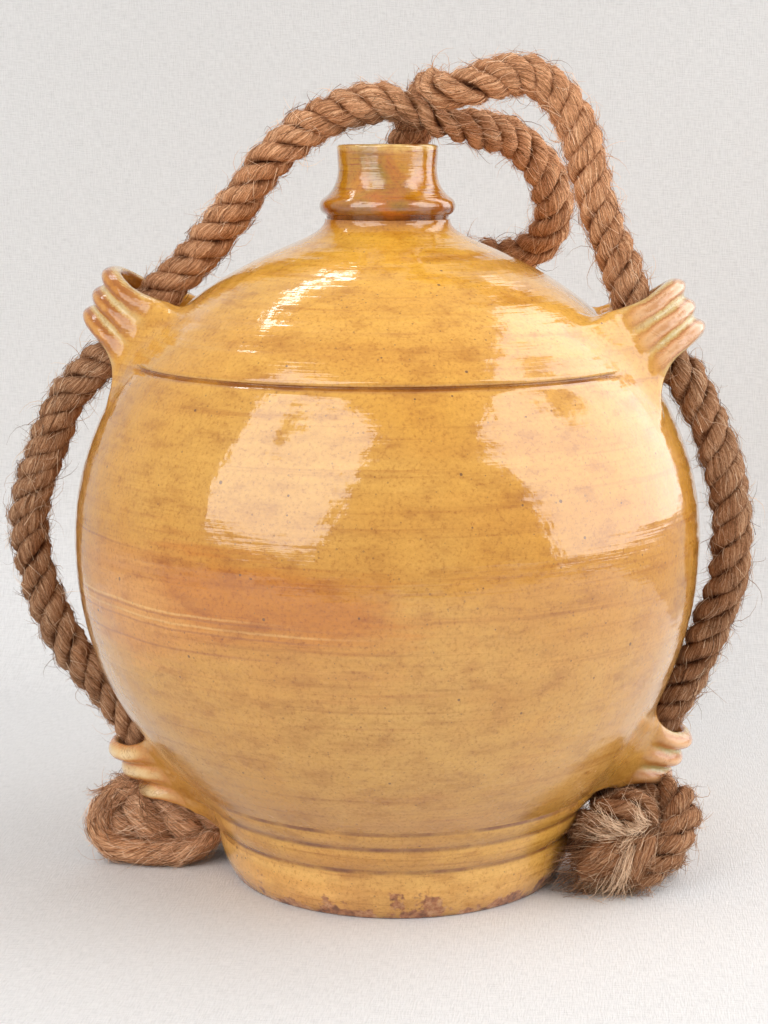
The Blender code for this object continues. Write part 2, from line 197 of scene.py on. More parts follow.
def storeNamed(geometry, name, value, kind="FLOAT"):
    return flow("GeometryNodeStoreNamedAttribute", geometry, True, name, value, data_type=kind,
                domain="POINT")


def readNamed(tree, name, kind="FLOAT"):
    return flow("GeometryNodeInputNamedAttribute", name, tree=tree, data_type=kind)


def randomBetween(tree, low, high, seed):
    return flow("FunctionNodeRandomValue", low, high, tree=tree, into={"Seed": seed}, data_type="FLOAT")


# Helpers for meshes

def addPiece(name, mesh):
    piece = bpy.data.objects.new(name, mesh)
    scene.collection.objects.link(piece)
    return piece


def spotsOf(mesh):
    spots = np.empty(len(mesh.vertices) * 3)
    mesh.vertices.foreach_get("co", spots)
    return spots.reshape(-1, 3)


def faceOutwards(mesh):
    # a closed mesh that is inside out has a negative volume
    mesh.calc_loop_triangles()
    corners = np.empty(len(mesh.loop_triangles) * 3, dtype=np.int32)
    mesh.loop_triangles.foreach_get("vertices", corners)
    a, b, c = spotsOf(mesh)[corners.reshape(-1, 3).T]
    if np.einsum("ij,ij->i", a, np.cross(b, c)).sum() < 0:
        mesh.flip_normals()


def setValues(mesh, named):
    for label, numbers in named.items():
        mesh.attributes.new(label, "FLOAT", "POINT").data.foreach_set("value", numbers)


def wireMesh(name, points, edges=None, **named):
    # a line of points with named values on them
    mesh = bpy.data.meshes.new(name)
    mesh.from_pydata(points, edges or [(k, k + 1) for k in range(len(points) - 1)], [])
    setValues(mesh, named)
    return mesh


def growPiece(name, tree, start, sizes):
    # runs a tree on a starting mesh and keeps what comes out as a plain mesh
    seedObject = addPiece(name + "_start", start)
    modifier = seedObject.modifiers.new("grow", "NODES")
    modifier.node_group = tree
    for item in tree.interface.items_tree:
        if item.in_out == "INPUT" and item.name in sizes:
            modifier[item.identifier] = sizes[item.name]
    bpy.context.view_layer.update()
    graph = bpy.context.evaluated_depsgraph_get()
    mesh = bpy.data.meshes.new_from_object(seedObject.evaluated_get(graph), depsgraph=graph)
    bpy.data.objects.remove(seedObject)
    mesh.name = name
    faceOutwards(mesh)
    print(f"{name}: {len(mesh.polygons)} faces")
    return addPiece(name, mesh)


# Rope. The route is the one of the solid rope.

rope = {
    "diameter": 0.020, "strands": 3, "strandRadius": 0.0048, "helixRadius": 0.0051,
    "layLength": 0.0365, "tightLay": 0.0275, "tightAround": (0.075, 0, 0.388), "tightReach": 0.05,
    "points": 330, "step": 0.0014, "sides": 22,
    "twist": 330.0, "fibreStretch": 0.09, "yarns": 7.0, "yarnDepth": 0.0005, "yarnMiddle": 0.7,
    "frayDepth": 0.0015, "frayScale": 700.0, "lumpScale": 125.0, "lumpShare": 2.2,
    "unevenLay": 0.15, "unevenSize": 0.045,
    "crossing": (0.024, 0.004, 0.381), "crossingSqueeze": 0.80, "crossingReach": 0.014,
    "crossingFade": 0.016, "lugSqueeze": 0.92, "lugTop": 0.09,
}

route = (
    (-0.1085, -0.006, 0.029), (-0.112, -0.002, 0.0365), (-0.1154, 0, 0.043), (-0.1233, 0, 0.0544),
    (-0.1322, 0, 0.0674), (-0.141, 0, 0.078), (-0.1495, 0, 0.089), (-0.1575, 0, 0.0995),
    (-0.1655, 0, 0.11), (-0.176, 0, 0.131), (-0.182, 0, 0.153), (-0.184, 0, 0.174), (-0.18, 0, 0.194),
    (-0.172, 0, 0.215), (-0.163, 0, 0.236), (-0.1545, 0, 0.246), (-0.147, 0, 0.2535),
    (-0.137, 0, 0.2605), (-0.1245, 0, 0.2762), (-0.112, 0, 0.291), (-0.099, 0, 0.3035),
    (-0.086, 0, 0.318), (-0.072, 0, 0.336), (-0.058, 0, 0.355), (-0.035, 0, 0.373),
    (-0.01, -0.002, 0.382), (0.008, 0.001, 0.3805), (0.024, 0.0078, 0.3733), (0.042, 0.022, 0.37),
    (0.059, 0.04, 0.365), (0.073, 0.054, 0.35), (0.079, 0.063, 0.332), (0.074, 0.071, 0.315),
    (0.06, 0.081, 0.305), (0.04, 0.091, 0.303), (0.02, 0.094, 0.305), (0, 0.088, 0.311),
    (-0.013, 0.073, 0.321), (-0.014, 0.057, 0.334), (-0.005, 0.045, 0.348), (0.005, 0.04, 0.362),
    (0.011, 0.029, 0.3765), (0.017, 0.015, 0.3875), (0.0215, 0, 0.3912), (0.027, -0.011, 0.388),
    (0.037, -0.013, 0.388), (0.0485, -0.008, 0.392), (0.062, -0.002, 0.3955), (0.076, 0, 0.391),
    (0.087, 0, 0.379), (0.094, 0, 0.364), (0.098, 0, 0.346), (0.104, 0, 0.327), (0.112, 0, 0.308),
    (0.119, 0, 0.289), (0.127, 0, 0.274), (0.137, 0, 0.2605), (0.145, 0, 0.252), (0.152, 0, 0.24),
    (0.161, 0, 0.22), (0.167, 0, 0.2), (0.17, 0, 0.18), (0.17, 0, 0.16), (0.169, 0.002, 0.15),
    (0.166, 0.004, 0.14), (0.1625, 0.007, 0.129), (0.159, 0.009, 0.118), (0.1546, 0.011, 0.107),
    (0.15, 0.012, 0.096), (0.1445, 0.013, 0.085), (0.138, 0.013, 0.075), (0.1305, 0.0125, 0.064),
    (0.1223, 0.0115, 0.05),
)


def smoothRoute(points, steps=12):
    points = [Vector(point) for point in points]
    ends = [2 * points[0] - points[1], *points, 2 * points[-1] - points[-2]]
    curve = []
    for a, b, c, d in zip(ends, ends[1:], ends[2:], ends[3:]):
        for step in range(steps):
            t = step / steps
            curve.append(0.5 * (2 * b + (c - a) * t + (2 * a - 5 * b + 4 * c - d) * t * t
                                + (3 * b - a - 3 * c + d) * t ** 3))
    curve.append(points[-1])
    return curve


def evenPoints(curve, count):
    lengths = [0.0]
    for first, second in zip(curve, curve[1:]):
        lengths.append(lengths[-1] + (second - first).length)
    picked, index = [], 0
    for number in range(count):
        target = lengths[-1] * number / (count - 1)
        while index < len(lengths) - 2 and lengths[index + 1] < target:
            index += 1
        share = (target - lengths[index]) / (lengths[index + 1] - lengths[index])
        picked.append(curve[index].lerp(curve[index + 1], min(share, 1)))
    return picked, lengths[-1]


def ropeSqueeze(point):
    # thinner where the two runs cross, and inside the lower lugs
    beyond = max(0, (point - Vector(rope["crossing"])).length - rope["crossingReach"])
    squeeze = 1 - (1 - rope["crossingSqueeze"]) * max(0, 1 - beyond / rope["crossingFade"])
    return min(squeeze, rope["lugSqueeze"] if point.z < rope["lugTop"] else 1)


def localLay(point):
    # the strands bunch up where the rope bends sharply over the top
    near = (point - Vector(rope["tightAround"])).length
    share = max(0, 1 - near / rope["tightReach"])
    return rope["layLength"] + (rope["tightLay"] - rope["layLength"]) * share


def unevenness(count, seed, waves=26):
    # a smooth random line between -1 and 1
    heights = np.random.default_rng(seed).uniform(-1, 1, waves + 1)
    return np.interp(np.linspace(0, waves, count), np.arange(waves + 1), heights)


coirShades = {
    "fibres": ((0.33, (0.12, 0.050, 0.022)), (0.43, (0.34, 0.160, 0.078)),
               (0.52, (0.60, 0.315, 0.165)), (0.63, (0.90, 0.62, 0.40))),
    "patch": (0.84, 0.74, 0.66),
    # painted shade in the creases between strands, a painted highlight on the knuckles
    "paintedStrandShading": ((0.66, (0.20, 0.13, 0.09)), (0.80, (0.60, 0.50, 0.43)), (0.90, 1.0), (1.0, 1.08)),
    # heights: painted light, lighter on top where the light falls and darker down the hanging runs
    "heights": ((0.0, (1.22, 1.25, 1.28)), (0.10, (1.16, 1.18, 1.20)), (0.22, 0.72),
                (0.62, (0.76, 0.75, 0.74)), (0.88, (1.14, 1.08, 1.02))),
    "rightKnot": (0.80, 0.76, 0.72),
    "loose": ((0.05, (0.16, 0.070, 0.032)), (0.35, (0.44, 0.22, 0.110)), (0.70, (0.70, 0.42, 0.25)),
              (1.0, (1.0, 0.76, 0.54))), "palest": (0.86, 1.06),
    "hairScale": 2300, "bundleScale": 760, "patchScale": 34, "mottleScale": 260, "bump": 0.0013,
}


def coirPaintedLightAndTone(where, colour):
    # painted light and shade: lighter on top, where the light falls, and darker where the rope hangs;
    # lighter in the left knot, darker in the right one
    x, _, height = splitXYZ(where)
    tone = ramp(remap(height, 0.0, 0.40), coirShades["heights"])
    inRightKnot = remap(x, 0.07, 0.09) * remap(height, 0.055, 0.07, 1.0, 0.0)
    return tinted(colour, blendColour(inRightKnot, tone, coirShades["rightKnot"]))


def coirMaterial():
    material, tree, shader = newMaterial("coir fibre", 0.86, (0.33, 0.19, 0.11))
    fibre = attributeOf(tree, "fibre", "Vector")
    where = objectPlace(tree)
    hair = noiseOf(fibre, coirShades["hairScale"], 3, 0.6)
    bundle = noiseOf(fibre, coirShades["bundleScale"])
    patch = noiseOf(where, coirShades["patchScale"], 3, 0.55)
    shade = hair * 0.66 + bundle * 0.34
    colour = tinted(ramp(shade, coirShades["fibres"]), coirShades["patch"], remap(patch, 0.35, 0.7))
    # painted shade where the strands meet, and a painted highlight on the knuckles
    colour = tinted(colour, ramp(attributeOf(tree, "knuckle"), coirShades["paintedStrandShading"]))
    plugAll(shader, {"Base Color": coirPaintedLightAndTone(where, colour), "Specular IOR Level": 0.15,
                     "Normal": bumpOf(shade, 1.0, coirShades["bump"])})
    return material


coir = coirMaterial()


def laidRopeTree():
    tree, given, finish = newTree("laid rope", {
        "Step": 0.0, "Strands": 1, "Strand Radius": 0.0, "Helix Radius": 0.0, "Sides": 1,
        "Fibre Twist": 0.0, "Yarns": 0.0, "Yarn Depth": 0.0, "Fray Depth": 0.0, "Material": coir})
    tangent = flow("GeometryNodeInputTangent", tree=tree)
    normal = flow("GeometryNodeInputNormal", tree=tree)
    here = flow("GeometryNodeInputPosition", tree=tree)
    line = flow("GeometryNodeMeshToCurve", given["Geometry"])
    line = flow("GeometryNodeResampleCurve", line, True, given["Step"], mode="LENGTH")
    line = storeNamed(line, "along", flow("GeometryNodeSplineParameter", tree=tree, out="Length"))
    line = storeNamed(line, "ropeAxis", tangent, "FLOAT_VECTOR")
    line = storeNamed(line, "ropeMiddle", here, "FLOAT_VECTOR")
    copies = addNode("GeometryNodeDuplicateElements", line, True, given["Strands"], domain="SPLINE")
    line = storeNamed(Flow(copies.outputs[0]), "strand", Flow(copies.outputs[1]) / given["Strands"])

    # each strand winds round the route, right-handed
    strand, along, squeeze = (readNamed(tree, name) for name in ("strand", "along", "squeeze"))
    turn = (readNamed(tree, "layTurns") + strand) * math.tau
    out = vectors("ADD", vectors("SCALE", normal, maths("COSINE", turn)),
                  vectors("SCALE", vectors("CROSS_PRODUCT", tangent, normal), maths("SINE", turn)))
    offset = vectors("SCALE", out, given["Helix Radius"] * squeeze)
    line = flow("GeometryNodeSetPosition", line, True, None, offset)
    ring = flow("GeometryNodeCurvePrimitiveCircle", given["Sides"], 1.0)
    ring = storeNamed(ring, "ring", here, "FLOAT_VECTOR")
    sweep = flow("GeometryNodeCurveToMesh", line, ring, given["Strand Radius"] * squeeze, True)

    # fibres run back against the lay, so they lie nearly along the rope
    ringX, ringY, _ = splitXYZ(readNamed(tree, "ring", "FLOAT_VECTOR"))
    angle = maths("ARCTAN2", ringY, ringX) + along * given["Fibre Twist"]
    fibre = joinXYZ(*(maths(wave, angle) * given["Strand Radius"] for wave in ("COSINE", "SINE")),
                    along * rope["fibreStretch"] + strand)
    sweep = storeNamed(sweep, "fibre", fibre, "FLOAT_VECTOR")
    yarn = maths("ABSOLUTE", maths("SINE", angle * (given["Yarns"] * 0.5)))
    yarn = (yarn - rope["yarnMiddle"]) * given["Yarn Depth"]
    fray = noiseOf(readNamed(tree, "fibre", "FLOAT_VECTOR"), rope["frayScale"]) - 0.5
    lump = (noiseOf(here, rope["lumpScale"], 1) - 0.5) * rope["lumpShare"]
    swell = yarn + (fray + lump) * given["Fray Depth"]
    sweep = flow("GeometryNodeSetPosition", sweep, True, None, vectors("SCALE", normal, swell))
    far = vectors("LENGTH", vectors("SUBTRACT", here, readNamed(tree, "ropeMiddle", "FLOAT_VECTOR")))
    reach = (given["Strand Radius"] + given["Helix Radius"]) * squeeze
    return finish(storeNamed(sweep, "knuckle", far / reach))


ropeTree = laidRopeTree()


def layRope(name, points, squeezes, lays, sizes):
    turns, total = [0.0], 0.0
    for first, second, lay in zip(points, points[1:], lays):
        total += (second - first).length / lay
        turns.append(total)
    start = wireMesh(name, points, layTurns=turns, squeeze=squeezes)
    return growPiece(name, ropeTree, start, {
        "Step": rope["step"], "Strands": sizes["strands"], "Strand Radius": sizes["strandRadius"],
        "Helix Radius": sizes["helixRadius"], "Sides": rope["sides"], "Fibre Twist": sizes["twist"],
        "Yarns": rope["yarns"], "Yarn Depth": rope["yarnDepth"], "Fray Depth": rope["frayDepth"],
        "Material": coir})


ropePath, ropeLength = evenPoints(smoothRoute(route), rope["points"])
layChange = 1 + rope["unevenLay"] * unevenness(rope["points"], 3)
sizeChange = 1 + rope["unevenSize"] * unevenness(rope["points"], 4, 60)
handleRope = layRope("handleRope", ropePath,
                     [ropeSqueeze(point) * change for point, change in zip(ropePath, sizeChange)],
                     [localLay(point) * change for point, change in zip(ropePath, layChange)], rope)
print(f"rope: {ropeLength:.3f} m")


# Stopper knots. The left one is a bulb of three crowned strands with a fourth wound round its end,
# the right one an open overhand knot whose frayed end falls over its front in two bundles.

looseStrand = {"strands": 1, "helixRadius": 0.0, "lay": 0.046}
knots = {
    "knotleftTied": {
        "line": ((-0.086, 0.004, 0.0238), (-0.1, 0, 0.0224), (-0.115, -0.003, 0.022),
                 (-0.131, -0.003, 0.0218), (-0.145, -0.001, 0.022)),
        "strands": 3, "strandRadius": 0.0095, "helixRadius": 0.0117, "ends": (0.42, 0.10), "blunt": 3.8,
        "lay": 0.044, "twist": 110.0},
    "knotleftBand": {
        "line": ((-0.123, -0.0095, 0.0385), (-0.135, -0.015, 0.0365), (-0.144, -0.018, 0.0285),
                 (-0.1455, -0.02, 0.0175), (-0.1385, -0.0215, 0.0092), (-0.124, -0.0225, 0.0068),
                 (-0.108, -0.022, 0.007), (-0.095, -0.0185, 0.0095), (-0.087, -0.0115, 0.015)),
        "strandRadius": 0.0063, "ends": (0.6, 0.5), "blunt": 4.0, "twist": 90.0, **looseStrand},
    "knotrightTied": {
        "middle": (0.1255, -0.0140), "turn": 140, "rise": 0.0155, "tilt": 0.05, "ring": 0.0172,
        "lobe": 0.0078, "open": 0.62, "squeeze": 0.97, "lay": 0.034, "twist": 330.0,
        "strands": 3, "strandRadius": 0.0047, "helixRadius": 0.0052,
        "lead": ((0.1217, 0.0114, 0.049), (0.1193, 0.011, 0.0449), (0.1162, 0.0075, 0.04),
                 (0.1128, 0.001, 0.0362))},
    "knotrightBundle": {
        "line": ((0.132, -0.026, 0.033), (0.125, -0.0325, 0.0275), (0.115, -0.0365, 0.02),
                 (0.106, -0.0375, 0.015), (0.0985, -0.037, 0.013)),
        "strandRadius": 0.0106, "ends": (0.45, 0.40), "blunt": 3.0, "twist": 20.0, **looseStrand},
    "knotrightFringe": {
        "line": ((0.132, -0.028, 0.033), (0.13, -0.037, 0.0262), (0.1265, -0.04, 0.017),
                 (0.1235, -0.04, 0.0092)),
        "strandRadius": 0.0072, "ends": (0.50, 0.45), "blunt": 3.0, "twist": 20.0, **looseStrand},
}
knotSteps = 120


def bulbSqueeze(shape):
    squeezes = []
    for step in range(knotSteps):
        share = 2 * step / (knotSteps - 1) - 1
        low = shape["ends"][0 if share < 0 else 1]
        squeezes.append(low + (1 - low) * math.sqrt(1 - abs(share) ** shape["blunt"]))
    return squeezes


def trefoilLine(shape, steps=48):
    middle = Vector((*shape["middle"], 0))
    outward = middle.normalized()
    points, start = [], math.pi / 6
    for step in range(steps):
        t = start + (math.tau - shape["open"]) * step / (steps - 1)
        radius = shape["ring"] + shape["lobe"] * math.cos(3 * t)
        angle = 2 * (t - start) + math.radians(shape["turn"])
        spot = Vector((radius * math.cos(angle), radius * math.sin(angle),
                       shape["rise"] * math.sin(3 * t)))
        spot.z += shape["tilt"] * spot.dot(outward)
        points.append(middle + spot)
    lift = Vector((0, 0, rope["diameter"] / 2 * shape["squeeze"] - min(point.z for point in points)))
    return [Vector(point) for point in shape["lead"]] + [point + lift for point in points]


knotPieces = {}
for knotName, shape in knots.items():
    knotCurve = shape.get("line") or trefoilLine(shape)
    knotPoints, _ = evenPoints(smoothRoute(knotCurve, 6), knotSteps)
    squeezes = bulbSqueeze(shape) if "line" in shape else [shape["squeeze"]] * knotSteps
    knotPieces[knotName] = layRope(knotName, knotPoints, squeezes, [shape["lay"]] * knotSteps, shape)

for piece in [handleRope, *knotPieces.values()]:
    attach(piece, "root")
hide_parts("rope")
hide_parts("knot_left")
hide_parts("knot_right")
print("rope and knots are laid")


# Loose fibres. Short ones lie on the knuckles and are caught at both ends, long ones stray.

hairs = {
    "thickness": 0.00013, "onKnuckles": 0.85, "ground": 0.0003, "smallest": 0.55, "largest": 1.35,
    "lying": (((-0.0042, 0, -0.0003), (0, 0.0012, 0.0013), (0.0045, 0.0004, -0.0003)),
              ((-0.006, 0, -0.0003), (0.001, -0.0016, 0.0016), (0.0055, 0.0008, -0.0002)),
              ((-0.003, 0, -0.0003), (0.002, 0.001, 0.0011), (0.0068, -0.0012, 0.0007)),
              ((-0.0048, 0, -0.0003), (-0.001, -0.0008, 0.002), (0.006, 0.0026, 0.001)),
              ((-0.0035, 0, -0.0002), (0.0015, 0.002, 0.0014), (0.0052, 0.0036, 0.002))),
    "stray": (((0, 0, -0.0005), (0.003, 0.001, 0.0025), (0.007, -0.002, 0.0025)),
              ((0, 0, -0.0005), (0.0045, -0.002, 0.001), (0.006, 0.001, 0.004)),
              ((0, 0, -0.0005), (0.002, 0.0015, 0.003), (0.006, 0.003, 0.0015)),
              ((0, 0, -0.0005), (0.0025, -0.001, 0.0022), (0.005, -0.0035, 0.0034)),
              ((0, 0, -0.0005), (0.0015, 0.0005, 0.002), (0.0042, 0.0012, 0.0036)),
              ((0, 0, -0.0005), (0.009, 0.003, 0.006), (0.015, -0.005, 0.001)),
              ((0, 0, -0.0005), (0.002, -0.003, 0.007), (0.008, -0.008, 0.005))),
    "lyingDensity": 100000.0, "strayDensity": 34000.0, "lyingSpread": 0.36, "straySpread": 1.3,
    "moreOnKnots": 2.0, "firstSeed": 11,
}


def hairMaterial():
    material, tree, shader = newMaterial("loose coir", 0.8, (0.42, 0.22, 0.12))
    where = objectPlace(tree)
    tone = attributeOf(tree, "tone") + (noiseOf(where, coirShades["mottleScale"]) - 0.5) * 0.4
    colour = ramp(tone, coirShades["loose"])
    # the palest keep their own pale colour, without the painted light and shade by height and the right
    # knot's darkening
    colour = blendColour(remap(tone, *coirShades["palest"]), coirPaintedLightAndTone(where, colour), colour)
    plugAll(shader, {"Base Color": colour, "Specular IOR Level": 0.2})
    return material


looseCoir = hairMaterial()


def hairTree(name, shapes):
    tree, given, finish = newTree(name, {"Density": 0.0, "Thickness": 0.0, "Spread": 0.0, "Seed": 1,
                                         "Material": looseCoir})
    outside = flow("FunctionNodeCompare", readNamed(tree, "knuckle"), hairs["onKnuckles"],
                   data_type="FLOAT", operation="GREATER_THAN")
    scatter = addNode("GeometryNodeDistributePointsOnFaces", given["Geometry"], outside, given["Density"],
                      into={"Seed": given["Seed"]})
    points = storeNamed(Flow(scatter.outputs["Points"]), "tone", randomBetween(tree, 0.0, 1.0, 5))

    # each one stands on the surface and runs along the rope, either way
    turned = flow("FunctionNodeAlignRotationToVector", axis="Z",
                  into={"Vector": Flow(scatter.outputs["Normal"])})
    turned = flow("FunctionNodeAlignRotationToVector", turned, axis="X", pivot_axis="Z",
                  into={"Vector": readNamed(tree, "ropeAxis", "FLOAT_VECTOR")})
    half = maths("ROUND", randomBetween(tree, 0.0, 1.0, 8)) * math.pi
    spin = half + randomBetween(tree, -1.0, 1.0, 3) * given["Spread"]
    twist = flow("FunctionNodeAxisAngleToRotation", (0, 0, 1), spin)
    turned = flow("FunctionNodeRotateRotation", turned, twist, rotation_space="LOCAL")

    ring = flow("GeometryNodeCurvePrimitiveCircle", 3, given["Thickness"])
    taper = 1.15 - flow("GeometryNodeSplineParameter", tree=tree, out="Factor")
    kinds = addNode("GeometryNodeJoinGeometry", tree=tree)
    for start, middle, end in shapes:
        bend = flow("GeometryNodeCurveQuadraticBezier", 4, start, middle, end, tree=tree)
        hair = flow("GeometryNodeCurveToMesh", bend, ring, taper, True)
        plug(kinds.inputs[0], flow("GeometryNodeGeometryToInstance", hair))
    size = randomBetween(tree, hairs["smallest"], hairs["largest"], 6)
    placed = flow("GeometryNodeInstanceOnPoints", points, into={
        "Instance": Flow(kinds.outputs[0]), "Pick Instance": True, "Rotation": turned,
        "Scale": joinXYZ(size, size, size)})

    # none of them goes through the ground
    real = flow("GeometryNodeRealizeInstances", placed)
    x, y, z = splitXYZ(flow("GeometryNodeInputPosition", tree=tree))
    above = joinXYZ(x, y, maths("MAXIMUM", z, hairs["ground"]))
    return finish(flow("GeometryNodeSetPosition", real, True, above))


hairTrees = {kind: hairTree(kind + " fibres", hairs[kind]) for kind in ("lying", "stray")}
for number, piece in enumerate([handleRope, *knotPieces.values()]):
    more = 1.0 if piece == handleRope else hairs["moreOnKnots"]
    for kind, hairsTree in hairTrees.items():
        fuzz = growPiece(piece.name + kind.title() + "Fibres", hairsTree, piece.data.copy(), {
            "Density": hairs[kind + "Density"] * more, "Thickness": hairs["thickness"],
            "Spread": hairs[kind + "Spread"], "Seed": hairs["firstSeed"] + number, "Material": looseCoir})
        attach(fuzz, "root")


# Frayed rope ends: a tuft that falls over the front of the right knot, dark fuzz on the left one

# each lock: (how many, heading in degrees seen from the front, length, tone, how far it stands off)
tufts = {
    "frayedEnd": {
        "thickness": 0.00016, "seed": 5, "middle": (0.1285, -0.0355, 0.0325), "spread": 0.0050,
        "locks": (
            (70, 152, 0.021, 1.10, 0.006), (70, 172, 0.022, 1.05, 0.008), (40, 130, 0.014, 1.00, 0.006),
            (60, 180, 0.014, 1.15, 0.009), (60, 215, 0.014, 1.10, 0.009), (40, 90, 0.009, 1.00, 0.007),
            (60, 188, 0.022, 0.70, 0.004), (150, 200, 0.031, 0.36, 0.003), (150, 208, 0.035, 0.28, 0.003),
            (150, 215, 0.036, 0.22, 0.004), (150, 221, 0.036, 0.32, 0.004), (150, 227, 0.036, 0.26, 0.004),
            (150, 233, 0.036, 0.36, 0.005), (140, 239, 0.036, 0.50, 0.005), (140, 244, 0.036, 1.00, 0.008),
            (140, 249, 0.035, 1.10, 0.009), (120, 255, 0.034, 1.00, 0.009), (110, 262, 0.032, 0.60, 0.007),
            (90, 271, 0.029, 0.40, 0.006), (60, 282, 0.025, 0.30, 0.005), (90, 212, 0.030, 0.10, 0.002),
            (90, 225, 0.030, 0.14, 0.003), (70, 196, 0.024, 0.50, 0.005))},
    "frayedTop": {
        "thickness": 0.00012, "seed": 9, "middle": (-0.1330, -0.0270, 0.0375), "spread": 0.0065,
        "locks": (
            (22, 100, 0.006, 0.25, 0.003), (24, 150, 0.009, 0.35, 0.003), (24, 200, 0.011, 0.30, 0.003),
            (26, 240, 0.013, 0.45, 0.004), (26, 300, 0.013, 0.20, 0.004), (24, 350, 0.011, 0.40, 0.003),
            (22, 45, 0.007, 0.20, 0.003))},
}
tuftSteps = 6
tuftGround = 0.0007


def tuftTree():
    tree, given, finish = newTree("frayed end", {"Thickness": 0.0, "Material": looseCoir})
    line = flow("GeometryNodeMeshToCurve", given["Geometry"])
    ring = flow("GeometryNodeCurvePrimitiveCircle", 3, given["Thickness"])
    taper = 1.2 - maths("MULTIPLY", 0.7, flow("GeometryNodeSplineParameter", tree=tree, out="Factor"))
    return finish(flow("GeometryNodeCurveToMesh", line, ring, taper, True))


def tuftLines(name, tuft):
    chance = np.random.default_rng(tuft["seed"])
    middle = np.array(tuft["middle"])
    points, edges, tones = [], [], []
    for number, heading, length, lockTone, stand in tuft["locks"]:
        angle = math.radians(heading)
        pull = np.array((math.cos(angle), 0.05, math.sin(angle)))
        lockRoot = middle + chance.normal(0, tuft["spread"], 3) * (1, 0.4, 0.8) + pull * 0.002
        for hair in range(number):
            turn = angle + chance.normal(0, 0.13)
            aim = np.array((math.cos(turn), chance.normal(-0.06, 0.10), math.sin(turn)))
            first = lockRoot + chance.normal(0, 0.0014, 3)
            reach = length * chance.uniform(0.5, 1.1)
            bend = np.array((-aim[2], 0, aim[0])) * chance.normal(0, 0.16) * reach
            curl = chance.normal(0, 0.08, 3) * reach
            tone = np.clip(lockTone + chance.normal(0, 0.2), 0, 1)
            rise = stand * chance.uniform(0.4, 1.4)
            for step in range(tuftSteps + 1):
                share = step / tuftSteps
                curled = curl * math.sin(7 * share + tone * 9) * share
                spot = first + aim * reach * share + bend * share * share + curled
                spot[1] -= rise * math.sin(math.pi * min(1, share * 1.15))
                spot[2] = max(spot[2], tuftGround)
                if step:
                    edges.append((len(points) - 1, len(points)))
                points.append(tuple(spot))
                tones.append(tone)
    return wireMesh(name, points, edges, tone=tones)


frayedTree = tuftTree()
for tuftName, tuft in tufts.items():
    frayed = growPiece(tuftName, frayedTree, tuftLines(tuftName, tuft), {
        "Thickness": tuft["thickness"], "Material": looseCoir})
    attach(frayed, "root")
print("loose fibres are on")


# Vessel outlines, as lists of (radius, height)

vessel = {
    "bellyRadius": 0.155, "bellyHeight": 0.170, "bellyDepth": 0.1635, "bellyRise": 0.1475,
    "bellySteps": 120, "wall": 0.0068, "floor": 0.009, "underside": 0.01925, "footHeight": 0.050,
    "baseRadius": 0.0842, "footWall": 0.011, "footBands": (0.0254, 0.0388),
    "bandBulges": (0.0018, 0.0010, 0.0010), "bandSteps": 14, "grooveSteps": 8,
    "lineHeight": 0.2577, "lineDepth": 0.0016, "lineBelow": 0.0012, "lineWidth": 0.0022, "lineShape": 1.4,
    "fullness": 0.070, "sweep": 0.0137, "shoulderSteps": 80, "neckHeight": 0.3268, "neckWaist": 0.0306,
    "beadRadius": 0.0332, "beadRise": 0.0062, "beadThick": 0.0046, "throatRise": 0.0185,
    "collarRadius": 0.0244, "collarHeight": 0.0111, "collarFlare": 0.0003, "collarSteps": 15,
    "bore": 0.0198, "boreStep": 0.0026, "wobble": 0.00012, "footShift": 0.0045,
    "shiftedBelow": (0.035, 0.115), "segments": {"body": 288, "neck": 128, "foot": 192},
}


def bellyHalf(height):
    return vessel["bellyDepth"] if height < vessel["bellyHeight"] else vessel["bellyRise"]


def bellyRadius(height):
    share = (height - vessel["bellyHeight"]) / bellyHalf(height)
    return vessel["bellyRadius"] * math.sqrt(max(0, 1 - share * share))


def bellyArc(low, high, steps):
    middle, points = vessel["bellyHeight"], []
    start, end = (math.asin((height - middle) / bellyHalf(height)) for height in (low, high))
    for step in range(steps + 1):
        angle = start + (end - start) * step / steps
        half = vessel["bellyDepth"] if angle < 0 else vessel["bellyRise"]
        points.append((vessel["bellyRadius"] * math.cos(angle), middle + half * math.sin(angle)))
    return points


def offsetLine(points, distance):
    moved = []
    for index, (radius, height) in enumerate(points):
        before = points[max(index - 1, 0)]
        after = points[min(index + 1, len(points) - 1)]
        along = Vector((after[0] - before[0], after[1] - before[1])).normalized()
        moved.append((radius - along.y * distance, height + along.x * distance))
    return moved


def bentLine(start, startPull, end, endPull, count):
    curve = interpolate_bezier(start, start + startPull, end - endPull, end, count)
    return [(point.x, point.y) for point in curve]


def bellySide():
    top = vessel["lineHeight"] - vessel["lineBelow"]
    return bellyArc(vessel["underside"], top, vessel["bellySteps"])


def shoulderSide():
    line, rise = vessel["lineHeight"], vessel["bellyRise"]
    start = Vector((bellyRadius(line) - 0.0002, line + 0.0010, 0))
    angle = math.asin((line - vessel["bellyHeight"]) / rise)
    along = Vector((-vessel["bellyRadius"] * math.sin(angle), rise * math.cos(angle), 0)).normalized()
    end = Vector((vessel["neckWaist"], vessel["neckHeight"], 0))
    return bentLine(start, along * vessel["fullness"], end, Vector((0, vessel["sweep"], 0)),
                    vessel["shoulderSteps"] + 1)


